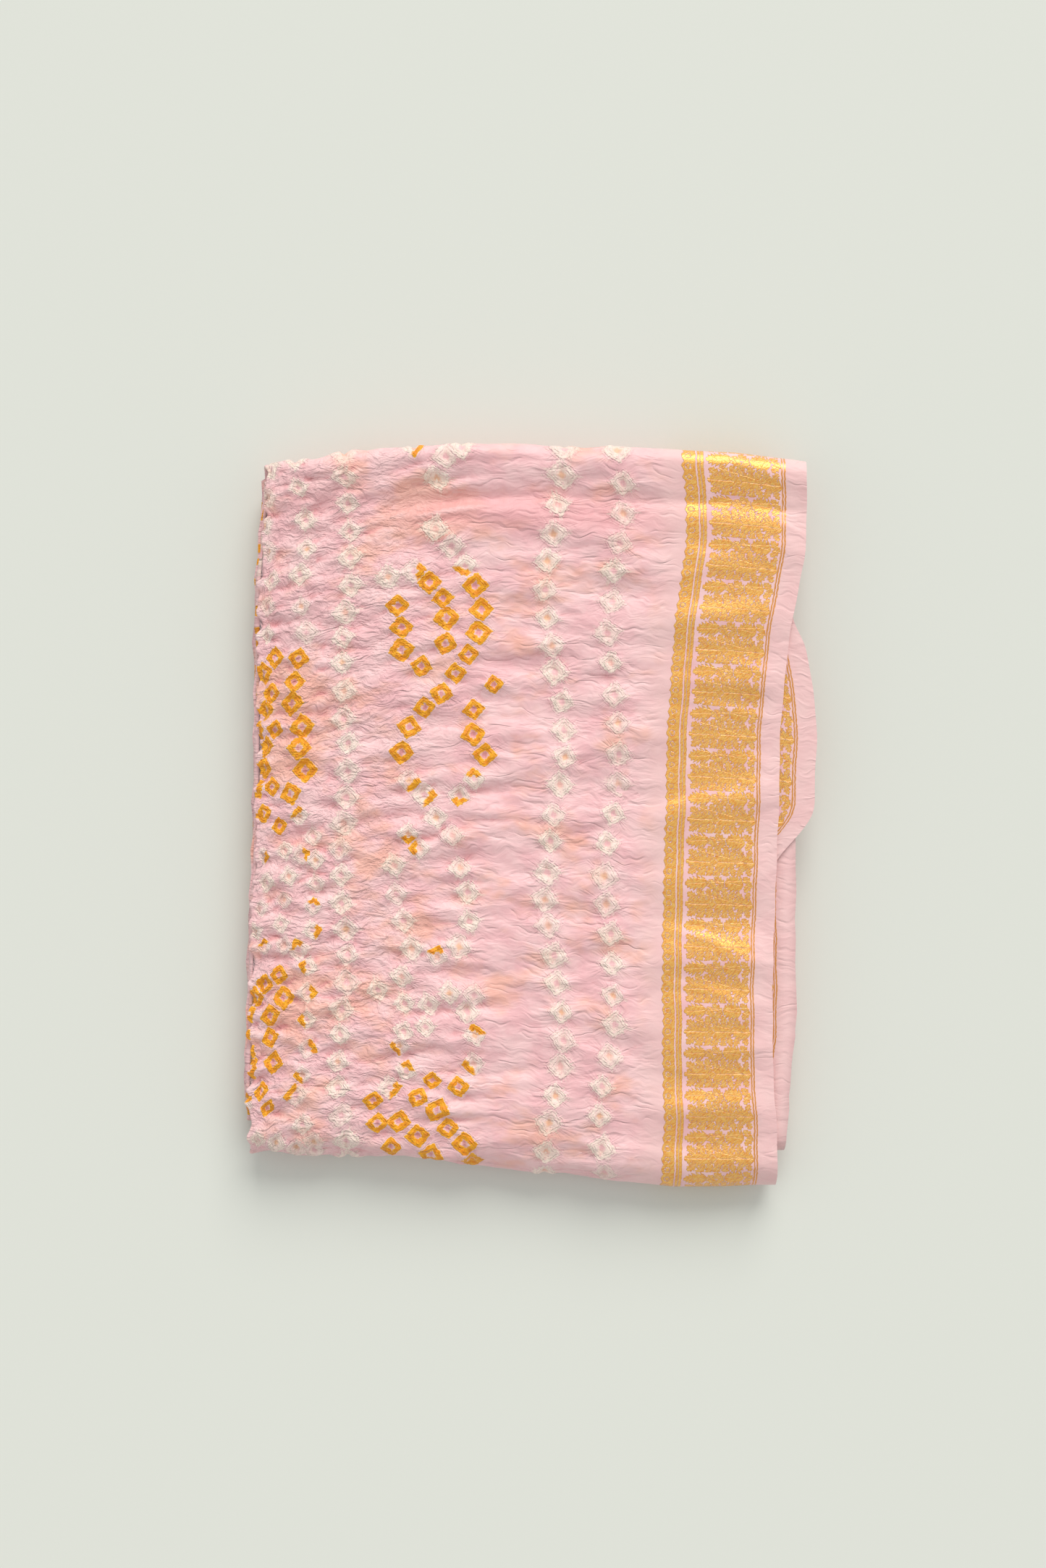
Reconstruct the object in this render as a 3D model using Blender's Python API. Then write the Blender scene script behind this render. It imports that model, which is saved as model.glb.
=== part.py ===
"""A long tie-dyed cloth with a woven gold border, folded flat, as one closed solid.

The cloth is doubled across its width, which gives the soft fold along the left side (-X) and
leaves its two woven edges open along the right side (+X). The doubled cloth is then halved
three times along its length, which stacks eight leaves, or sixteen plies.

A flat grid holds the unfolded cloth: its columns run across the doubled width and its rows
along the length. Each point is carried on to the folds, and Solidify then gives the sheet
its thickness. Units are metres. X is across the border, Y is along it, Z is up, and the
origin is the middle of the underside.
"""

from math import cos, exp, pi, sin, sqrt

import bmesh
import bpy

MM = 0.001

# Driving dimensions of the cloth and its stack.
PLY_THICKNESS = 1.0 * MM
PLY_PITCH = 1.5 * MM
LEAF_PITCH = 2.0 * PLY_PITCH
SIDE_FOLD_RADIUS = PLY_PITCH / 2.0
SIDE_FOLD_REACH = 1.2 * MM
BOTTOM_HEIGHT = PLY_THICKNESS / 2.0
STACK_LEVELS = 8

# Outline of the top ply, seen from above. Each row is a station and the edge's place there.
LEFT_EDGE = (   # y, x
    (-174 * MM, -137 * MM),
    (-150 * MM, -139 * MM),
    (-105 * MM, -138 * MM),
    (-60 * MM, -137 * MM),
    (0 * MM, -135 * MM),
    (60 * MM, -134.5 * MM),
    (115 * MM, -134 * MM),
    (145 * MM, -132 * MM),
    (172 * MM, -130 * MM),
)
RIGHT_EDGE = (  # y, x
    (-181 * MM, 120.5 * MM),
    (-150 * MM, 120 * MM),
    (-113 * MM, 118 * MM),
    (-60 * MM, 118.5 * MM),
    (-8 * MM, 120.5 * MM),
    (45 * MM, 122 * MM),
    (87 * MM, 125.5 * MM),
    (128 * MM, 132.5 * MM),
    (150 * MM, 134.5 * MM),
    (172 * MM, 134.5 * MM),
)
FRONT_EDGE = (  # x, y
    (-137 * MM, -165.5 * MM),
    (-120 * MM, -164.5 * MM),
    (-92 * MM, -165.5 * MM),
    (-66 * MM, -167 * MM),
    (-28 * MM, -171 * MM),
    (10 * MM, -175 * MM),
    (66 * MM, -180.5 * MM),
    (120 * MM, -181 * MM),
)
BACK_EDGE = (   # x, y
    (-132 * MM, 169.5 * MM),
    (-118 * MM, 172.5 * MM),
    (-74 * MM, 178 * MM),
    (-11 * MM, 181 * MM),
    (21 * MM, 180.5 * MM),
    (77 * MM, 178.5 * MM),
    (108 * MM, 176 * MM),
    (135 * MM, 172.5 * MM),
)

# How far each ply's right edge stands out past the top ply's, along the length.
SECOND_PLY_OUT = (  # y, distance
    (-60 * MM, -3 * MM),
    (-30 * MM, -1 * MM),
    (-18 * MM, 0.5 * MM),
    (4 * MM, 16 * MM),
    (18 * MM, 17.5 * MM),
    (45 * MM, 17.5 * MM),
    (68 * MM, 14 * MM),
    (87 * MM, 9 * MM),
    (103 * MM, 0 * MM),
    (130 * MM, -3 * MM),
)
LOWER_PLIES_OUT = (  # y, distance
    (-165 * MM, 2.5 * MM),
    (-135 * MM, 6 * MM),
    (-95 * MM, 10.5 * MM),
    (-50 * MM, 9 * MM),
    (-12 * MM, 8 * MM),
    (20 * MM, 5 * MM),
    (60 * MM, 1 * MM),
    (110 * MM, -3 * MM),
    (165 * MM, -2 * MM),
)

# How unevenly the lower plies' edges lie: each level steps in a little, and slips to and fro.
STEP_IN_PER_LEVEL = 0.7 * MM
PLY_SLIP = 1.6 * MM
SLIP_TURN_PER_LEVEL = 2.3
SLIP_TURN_OF_BACK_PLY = 1.0

# The passes of the cloth, as the level that each lies on, from one free end to the other.
# Level 0 is the lowest. The first pass runs towards the front (-Y), the next one back.
PASS_LEVELS = (3, 4, 7, 0, 1, 6, 5, 2)
TOP_LEVEL = 7
SECOND_LEVEL = 6
FREE_END_INSET = 11 * MM

# The folds between one pass and the next: how far the fold's nose lies inside the outline,
# and how long the nose is for its height.
FOLDS = (   # from level, to level, inset, nose length / nose height, steps round the fold
    (3, 4, 27 * MM, 1.0, 4),
    (4, 7, 0 * MM, 1.35, 6),
    (7, 0, 0 * MM, 1.7, 8),
    (0, 1, 4 * MM, 1.0, 4),
    (1, 6, 17.5 * MM, 1.2, 6),
    (6, 5, 8 * MM, 1.0, 4),
    (5, 2, 23 * MM, 1.2, 6),
)

# Grid steps. The rows of a hidden pass are shares of its length, and the columns of each ply
# are shares of its width from the left fold. Both lie closer together near the folds.
HIDDEN_PASS_ROWS = (0.0, 0.06, 0.28, 0.5, 0.72, 0.94, 1.0)
TOP_PASS_STEPS = 44
PLY_COLUMNS = (0.0, 0.05, 0.13, 0.25, 0.4, 0.55, 0.7, 0.86, 1.0)
SIDE_FOLD_STEPS = 4

# The lowest ply is flat over its inner rows and columns, and rises a little round its rim, as
# the plies just over it do. It rests on the four corners of the flat area, which is drawn in
# between them and stands a tenth of a millimetre clear of the table there.
TABLE_LEVEL = 0
FLAT_MIDDLE = (-18 * MM, 6.5 * MM)
FLAT_HALF_WIDTH = 106 * MM
FLAT_HALF_LENGTH = 148.5 * MM
FLAT_DRAWN_IN = 0.012
FLAT_ARCH = 0.1 * MM
RIM_RISE = 0.2 * MM
RIM_RISE_FADE = 6 * MM

# Loft of the top leaf: how far the crinkled cloth stands above the pressed plies under it.
FIELD_LOFT = 2.8 * MM
BORDER_LOFT = 1.4 * MM
LOFT_RIM = 26 * MM
RIGHT_RIM_LOFT = 0.35
FRONT_RIM_LOFT = 0.3
LEFT_ROLL_SHARE = 0.35
BORDER_START = 56 * MM
BORDER_FLATTENING = 40 * MM
BACK_PLY_LOFT_SHARE = 0.8
BACK_ROLL_HEIGHT = 2.8 * MM
BACK_ROLL_PLACE = 9 * MM
BACK_ROLL_SPREAD = 9 * MM
BACK_CREASE_PLACE = 27.5 * MM
BACK_CREASE_DEPTH = 1.8 * MM
BACK_CREASE_SPREAD = 5 * MM
FRONT_CREASE_PLACE = 22 * MM
FRONT_CREASE_DEPTH = 1.0 * MM
FRONT_CREASE_SPREAD = 5 * MM
SIDE_ROUNDING = 3.2 * MM

# Ridges that stand across the top ply: where each starts and ends, its height, and how far
# it spreads along Y on either side of its crest.
RIDGES = (  # x from, x to, y at from, y at to, height, spread
    (40 * MM, 135 * MM, 125 * MM, 126 * MM, 1.1 * MM, 7 * MM),
    (-10 * MM, 60 * MM, 112 * MM, 118 * MM, 0.9 * MM, 6 * MM),
    (45 * MM, 128 * MM, 94 * MM, 95 * MM, 1.2 * MM, 7 * MM),
    (-60 * MM, 10 * MM, 86 * MM, 82 * MM, 1.0 * MM, 7 * MM),
    (40 * MM, 122 * MM, 65 * MM, 64 * MM, 1.2 * MM, 8 * MM),
    (-125 * MM, -70 * MM, 72 * MM, 66 * MM, 0.9 * MM, 6 * MM),
    (-30 * MM, 45 * MM, 44 * MM, 40 * MM, 0.8 * MM, 6 * MM),
    (-130 * MM, -80 * MM, 33 * MM, 30 * MM, 1.0 * MM, 7 * MM),
    (50 * MM, 122 * MM, -4 * MM, 13 * MM, 1.5 * MM, 7 * MM),
    (-70 * MM, 20 * MM, -8 * MM, -4 * MM, 1.0 * MM, 7 * MM),
    (-130 * MM, -75 * MM, -28 * MM, -34 * MM, 0.9 * MM, 6 * MM),
    (-20 * MM, 60 * MM, -38 * MM, -36 * MM, 0.8 * MM, 7 * MM),
    (35 * MM, 120 * MM, -70 * MM, -72 * MM, 1.2 * MM, 8 * MM),
    (-80 * MM, 0 * MM, -64 * MM, -70 * MM, 1.1 * MM, 7 * MM),
    (-130 * MM, -80 * MM, -92 * MM, -88 * MM, 0.9 * MM, 6 * MM),
    (30 * MM, 118 * MM, -114 * MM, -112 * MM, 1.0 * MM, 8 * MM),
    (-60 * MM, 30 * MM, -108 * MM, -112 * MM, 0.9 * MM, 7 * MM),
    (-110 * MM, -30 * MM, -134 * MM, -138 * MM, 0.9 * MM, 7 * MM),
    (30 * MM, 118 * MM, -140 * MM, -142 * MM, 1.0 * MM, 7 * MM),
)
RIDGE_END_FADE = 16 * MM

CLOTH_PINK = (0.78, 0.47, 0.50, 1.0)
CLOTH_ROUGHNESS = 0.62


def clear_scene():
    """Remove whatever objects the scene holds."""
    for obj in list(bpy.data.objects):
        bpy.data.objects.remove(obj, do_unlink=True)


def read_curve(table, at):
    """Read a smooth curve through a table of (station, value) rows."""
    last = len(table) - 1
    if at <= table[0][0]:
        return table[0][1]
    if at >= table[last][0]:
        return table[last][1]
    k = next(i for i in range(last) if at <= table[i + 1][0])
    (x0, v0), (x1, v1) = table[k], table[k + 1]
    before = table[max(k - 1, 0)]
    after = table[min(k + 2, last)]
    slope0 = (v1 - before[1]) / (x1 - before[0])
    slope1 = (after[1] - v0) / (after[0] - x0)
    span = x1 - x0
    t = (at - x0) / span
    rise = t * t * (3.0 - 2.0 * t)
    lean0 = t * (1.0 - t) ** 2 * span * slope0
    lean1 = -t * t * (1.0 - t) * span * slope1
    return v0 + (v1 - v0) * rise + lean0 + lean1


def bell(distance, spread):
    """A smooth bump of height 1 at distance 0."""
    return exp(-(distance / spread) ** 2)


def ease(value):
    """Clamp to 0..1 and soften both ends."""
    t = min(max(value, 0.0), 1.0)
    return t * t * (3.0 - 2.0 * t)


# The rectangle that the folds are laid out in, before it takes the uneven outline.
FRONT_LINE = min(y for _, y in FRONT_EDGE)
BACK_LINE = max(y for _, y in BACK_EDGE)
LENGTH = BACK_LINE - FRONT_LINE
PRESSED_HEIGHT = (STACK_LEVELS - 1) * LEAF_PITCH + PLY_PITCH


def level_height(level):
    """Height of a leaf's middle above the lowest ply."""
    return SIDE_FOLD_RADIUS + level * LEAF_PITCH


def fold_point(fold, angle, at_front):
    """Centre line and outward normal on the half ellipse of one fold."""
    from_level, to_level, inset, stretch, _ = fold
    half_height = abs(to_level - from_level) * LEAF_PITCH / 2.0
    nose = half_height * stretch
    side = -1.0 if at_front else 1.0
    edge = FRONT_LINE if at_front else BACK_LINE
    reach = SIDE_FOLD_RADIUS + PLY_THICKNESS / 2.0
    middle_y = edge - side * (inset + nose + reach)
    middle_z = (level_height(from_level) + level_height(to_level)) / 2.0
    y = middle_y + side * nose * cos(angle)
    z = middle_z + half_height * sin(angle)
    normal_y = side * cos(angle) / nose
    normal_z = sin(angle) / half_height
    size = sqrt(normal_y ** 2 + normal_z ** 2)
    return y, z, normal_y / size, normal_z / size


def reach_from_middle(share, shares):
    """How far an inner share lies from the middle one: -1 to 1, or None on the rim."""
    first, last = shares[1], shares[-2]
    if not first <= share <= last:
        return None
    return 2.0 * (share - first) / (last - first) - 1.0


def path_rows():
    """Rows of the unfolded cloth.

    Each is (level, y, z, face-side normal y and z, share of the loft, reach on the table).
    """
    rows = []
    last = len(PASS_LEVELS) - 1
    for index, level in enumerate(PASS_LEVELS):
        to_front = index % 2 == 0
        face_up = 1.0 if to_front else -1.0
        if index == 0:
            start = BACK_LINE - FREE_END_INSET
        else:
            start = rows[-1][1]
        if index == last:
            end = BACK_LINE - FREE_END_INSET
        else:
            end = fold_point(FOLDS[index], pi / 2.0, to_front)[0]
        shares = HIDDEN_PASS_ROWS
        lofted = 0.0
        if level == TOP_LEVEL:
            shares = [step / TOP_PASS_STEPS for step in range(TOP_PASS_STEPS + 1)]
            lofted = 1.0
        for share in shares[0 if index == 0 else 1:]:
            y = start + (end - start) * share
            on_table = None
            if level == TABLE_LEVEL:
                on_table = reach_from_middle(share, shares)
            rows.append((level, y, level_height(level), 0.0, face_up, lofted, on_table))
        if index < last:
            rows.extend(fold_rows(FOLDS[index], to_front))
    return rows


def fold_rows(fold, at_front):
    """Rows that carry the cloth round one fold, after the row that starts it."""
    from_level, to_level = fold[0], fold[1]
    steps = fold[4]
    rising = 1.0 if to_level > from_level else -1.0
    face_outward = (rising < 0.0) == at_front
    face = 1.0 if face_outward else -1.0
    reaches_top = TOP_LEVEL in (from_level, to_level)
    lowest = level_height(min(from_level, to_level))
    rows = []
    for step in range(1, steps + 1):
        angle = rising * (-pi / 2.0 + pi * step / steps)
        y, z, normal_y, normal_z = fold_point(fold, angle, at_front)
        level = from_level if step < steps / 2.0 else to_level
        climbed = (z - lowest) / (level_height(TOP_LEVEL) - lowest)
        lofted = ease(climbed) if reaches_top else 0.0
        rows.append((level, y, z, face * normal_y, face * normal_z, lofted, None))
    return rows


def section_columns():
    """Columns across the doubled cloth: (share from the left, offset, reach of the fold)."""
    columns = [(share, SIDE_FOLD_RADIUS, 0.0) for share in reversed(PLY_COLUMNS)]
    for step in range(1, SIDE_FOLD_STEPS):
        angle = pi / 2.0 + pi * step / SIDE_FOLD_STEPS
        bulge = SIDE_FOLD_REACH * cos(angle)
        columns.append((0.0, SIDE_FOLD_RADIUS * sin(angle), bulge))
    columns.extend((share, -SIDE_FOLD_RADIUS, 0.0) for share in PLY_COLUMNS)
    return columns


def right_edge_out(level, on_back_ply, y):
    """How far this ply's right edge stands past the top ply's edge."""
    if level == TOP_LEVEL and not on_back_ply:
        return 0.0
    if level == TOP_LEVEL:
        return read_curve(SECOND_PLY_OUT, y)
    turn = SLIP_TURN_PER_LEVEL * level + (SLIP_TURN_OF_BACK_PLY if on_back_ply else 0.0)
    step_in = (SECOND_LEVEL - level) * STEP_IN_PER_LEVEL
    return read_curve(LOWER_PLIES_OUT, y) + PLY_SLIP * sin(turn) - step_in


def side_inset(height):
    """How far the left folds step in towards the top and the bottom of the stack."""
    middle = PRESSED_HEIGHT / 2.0
    return SIDE_ROUNDING * ((height - middle) / middle) ** 2


def ridge_height(x, y):
    """Sum of the ridges across the top ply at one place."""
    total = 0.0
    for x_from, x_to, y_from, y_to, height, spread in RIDGES:
        along = (x - x_from) / (x_to - x_from)
        crest = y_from + (y_to - y_from) * along
        fade = ease((x - x_from) / RIDGE_END_FADE + 0.5) * ease((x_to - x) / RIDGE_END_FADE + 0.5)
        total += height * fade * bell(y - crest, spread)
    return total


def loft(x, y, left, right, front, back):
    """Height of the top leaf over its pressed height at one place, without its ridges."""
    into_border = ease((x - BORDER_START) / BORDER_FLATTENING + 0.5)
    body = FIELD_LOFT + (BORDER_LOFT - FIELD_LOFT) * into_border
    left_rim = ease((x - left) / LOFT_RIM)
    right_rim = RIGHT_RIM_LOFT + (1.0 - RIGHT_RIM_LOFT) * ease((right - x) / LOFT_RIM)
    front_rim = FRONT_RIM_LOFT + (1.0 - FRONT_RIM_LOFT) * ease((y - front) / LOFT_RIM)
    roll = BACK_ROLL_HEIGHT * bell(back - BACK_ROLL_PLACE - y, BACK_ROLL_SPREAD)
    crease = BACK_CREASE_DEPTH * bell(back - BACK_CREASE_PLACE - y, BACK_CREASE_SPREAD)
    front_crease = FRONT_CREASE_DEPTH * bell(y - front - FRONT_CREASE_PLACE, FRONT_CREASE_SPREAD)
    roll_share = LEFT_ROLL_SHARE + (1.0 - LEFT_ROLL_SHARE) * left_rim
    body *= left_rim * right_rim * front_rim
    return max(body + (roll - crease) * roll_share - front_crease, 0.0)


def flat_place(share, along):
    """Place on the table of a point of the lowest ply, or None where it is on the rim."""
    across = reach_from_middle(share, PLY_COLUMNS)
    if across is None or along is None:
        return None
    x = FLAT_MIDDLE[0] + FLAT_HALF_WIDTH * across * (1.0 - FLAT_DRAWN_IN * (1.0 - along ** 2))
    y = FLAT_MIDDLE[1] + FLAT_HALF_LENGTH * along * (1.0 - FLAT_DRAWN_IN * (1.0 - across ** 2))
    arch = FLAT_ARCH * (1.0 - (across * along) ** 2)
    return x, y, BOTTOM_HEIGHT + arch


def lay_point(column, row):
    """Carry one point of the unfolded cloth to its place in the stack."""
    share, offset, bulge = column
    level, row_y, row_z, normal_y, normal_z, lofted, on_table = row
    on_back_ply = offset < 0.0
    if on_table is not None and not on_back_ply:
        place = flat_place(share, on_table)
        if place is not None:
            return place

    left = read_curve(LEFT_EDGE, row_y) + side_inset(row_z) + PLY_THICKNESS / 2.0
    right = read_curve(RIGHT_EDGE, row_y) + right_edge_out(level, on_back_ply, row_y)
    fold_x = left + SIDE_FOLD_REACH
    ply_x = fold_x + (right - fold_x) * share
    front = read_curve(FRONT_EDGE, ply_x)
    back = read_curve(BACK_EDGE, ply_x)
    along = (row_y + offset * normal_y - FRONT_LINE) / LENGTH
    y = front + (back - front) * along
    lift = loft(ply_x, y, left, right, front, back)
    if on_back_ply:
        lift *= BACK_PLY_LOFT_SHARE
    elif bulge == 0.0:
        lift += ridge_height(ply_x, y)
    rise = RIM_RISE * max(1.0 - row_z / RIM_RISE_FADE, 0.0)
    z = BOTTOM_HEIGHT + row_z + offset * normal_z + lift * lofted + rise
    return ply_x + bulge, y, z


def unfolded_cloth(columns, rows):
    """A flat grid, with one unit for each column and row."""
    bm = bmesh.new()
    bmesh.ops.create_grid(bm, x_segments=len(columns) - 1, y_segments=len(rows) - 1, size=0.5)
    for vert in bm.verts:
        vert.co.x = (vert.co.x + 0.5) * (len(columns) - 1)
        vert.co.y = (vert.co.y + 0.5) * (len(rows) - 1)
    return bm


def fold_cloth(bm, columns, rows):
    """Move every point of the grid on to the folds."""
    for vert in bm.verts:
        column = columns[round(vert.co.x)]
        row = rows[round(vert.co.y)]
        vert.co = lay_point(column, row)


def centre_over_origin(bm):
    """Slide the cloth so that the middle of its outline is over the origin."""
    xs = [vert.co.x for vert in bm.verts]
    ys = [vert.co.y for vert in bm.verts]
    shift = (-(min(xs) + max(xs)) / 2.0, -(min(ys) + max(ys)) / 2.0, 0.0)
    bmesh.ops.translate(bm, verts=bm.verts, vec=shift)


def cloth_material():
    """Pink silk."""
    material = bpy.data.materials.new("bandhani_silk")
    material.use_nodes = True
    shader = material.node_tree.nodes["Principled BSDF"]
    shader.inputs["Base Color"].default_value = CLOTH_PINK
    shader.inputs["Roughness"].default_value = CLOTH_ROUGHNESS
    return material


def build_cloth():
    """The folded cloth, as one object."""
    columns = section_columns()
    rows = path_rows()
    bm = unfolded_cloth(columns, rows)
    fold_cloth(bm, columns, rows)
    centre_over_origin(bm)
    bmesh.ops.triangulate(bm, faces=bm.faces, quad_method="SHORT_EDGE")
    mesh = bpy.data.meshes.new("folded_cloth")
    bm.to_mesh(mesh)
    bm.free()
    mesh.shade_smooth()
    mesh.materials.append(cloth_material())
    cloth = bpy.data.objects.new("folded_cloth", mesh)
    bpy.context.scene.collection.objects.link(cloth)
    thickness = cloth.modifiers.new("ply_thickness", "SOLIDIFY")
    thickness.thickness = PLY_THICKNESS
    thickness.offset = 0.0
    return cloth


def main():
    clear_scene()
    build_cloth()


main()
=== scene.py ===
"""A folded bandhani silk cloth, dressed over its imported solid.

The cloth is doubled across its width and then folded into eight leaves. It is laid here as a thin
sheet on the folds of the solid, in finer steps, with the puckers and wrinkles that tying leaves in
silk. Its colours are dyed and woven in its own flat coordinates: across, from the woven edge, and
along the cloth.

Units are metres. X is across the gold border, Y along it, Z up.
"""

import logging
from dataclasses import dataclass, replace
from enum import Enum
from math import atan2, cos, exp, hypot, pi, radians, sin
from random import Random

import bmesh
import bpy
import numpy as np
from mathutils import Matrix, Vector
from mathutils.kdtree import KDTree


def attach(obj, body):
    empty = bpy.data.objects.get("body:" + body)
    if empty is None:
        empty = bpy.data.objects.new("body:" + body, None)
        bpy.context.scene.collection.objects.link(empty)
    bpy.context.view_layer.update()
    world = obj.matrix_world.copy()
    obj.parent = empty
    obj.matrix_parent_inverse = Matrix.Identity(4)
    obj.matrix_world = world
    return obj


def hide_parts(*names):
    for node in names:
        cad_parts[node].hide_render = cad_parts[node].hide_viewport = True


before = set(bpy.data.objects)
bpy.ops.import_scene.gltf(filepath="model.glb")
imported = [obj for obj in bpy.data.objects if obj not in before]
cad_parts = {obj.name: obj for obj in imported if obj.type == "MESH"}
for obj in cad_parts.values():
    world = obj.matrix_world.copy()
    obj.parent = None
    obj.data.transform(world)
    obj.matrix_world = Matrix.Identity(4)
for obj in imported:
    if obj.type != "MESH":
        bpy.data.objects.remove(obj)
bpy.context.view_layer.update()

LOG = logging.getLogger("bandhani_cloth")

MM = 0.001
CLOTH_NODE = "folded_cloth"

Curve = tuple[tuple[float, float], ...]
Place = tuple[float, float, float]


def read_curve(table: Curve, at: float) -> float:
    """Read a smooth curve through a table of (station, value) rows.

    Args:
        table: Rows in rising order of station.
        at: The station to read.

    Returns:
        The value there; the end values go on past the ends.
    """
    last = len(table) - 1
    if at <= table[0][0]:
        return table[0][1]
    if at >= table[last][0]:
        return table[last][1]
    k = 0
    while at > table[k + 1][0]:
        k += 1
    (x0, v0), (x1, v1) = table[k], table[k + 1]
    before = table[max(k - 1, 0)]
    after = table[min(k + 2, last)]
    slope0 = (v1 - before[1]) / (x1 - before[0])
    slope1 = (after[1] - v0) / (after[0] - x0)
    span = x1 - x0
    t = (at - x0) / span
    rise = t * t * (3.0 - 2.0 * t)
    lean0 = t * (1.0 - t) ** 2 * span * slope0
    lean1 = -t * t * (1.0 - t) * span * slope1
    return v0 + (v1 - v0) * rise + lean0 + lean1


def bell(distance: float, spread: float) -> float:
    """A smooth bump of height 1 at distance 0."""
    return exp(-((distance / spread) ** 2))


def ease(value: float) -> float:
    """Clamp to 0..1 and soften both ends."""
    t = min(max(value, 0.0), 1.0)
    return t * t * (3.0 - 2.0 * t)


def dye(red: int, green: int, blue: int) -> tuple[float, float, float, float]:
    """A colour as the eye reads it, 0 to 255 a channel, as the linear colour that shaders take.

    Args:
        red: Red, 0 to 255.
        green: Green, 0 to 255.
        blue: Blue, 0 to 255.

    Returns:
        The linear colour with an opacity of 1.
    """
    linear = []
    for channel in (red, green, blue):
        c = channel / 255.0
        linear.append(c / 12.92 if c <= 0.04045 else ((c + 0.055) / 1.055) ** 2.4)
    return (linear[0], linear[1], linear[2], 1.0)


@dataclass(frozen=True)
class Row:
    """One row of the unfolded cloth, carried on to the stack.

    Rows run across the cloth. `along` is the place in the flat cloth, which is the same as the
    place along the stack on the top leaf.
    """

    level: int
    y: float
    z: float
    normal_y: float
    normal_z: float
    lofted: float
    along: float


@dataclass(frozen=True)
class Column:
    """One column of the doubled cloth: its share of the ply's width from the left fold."""

    share: float
    offset: float
    bulge: float

    @property
    def on_back_ply(self) -> bool:
        """Whether the column lies on the inner of the two plies."""
        return self.offset < 0.0


@dataclass(frozen=True)
class Fold:
    """A fold between two passes of the cloth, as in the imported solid."""

    from_level: int
    to_level: int
    inset: float
    stretch: float
    steps: int


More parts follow.
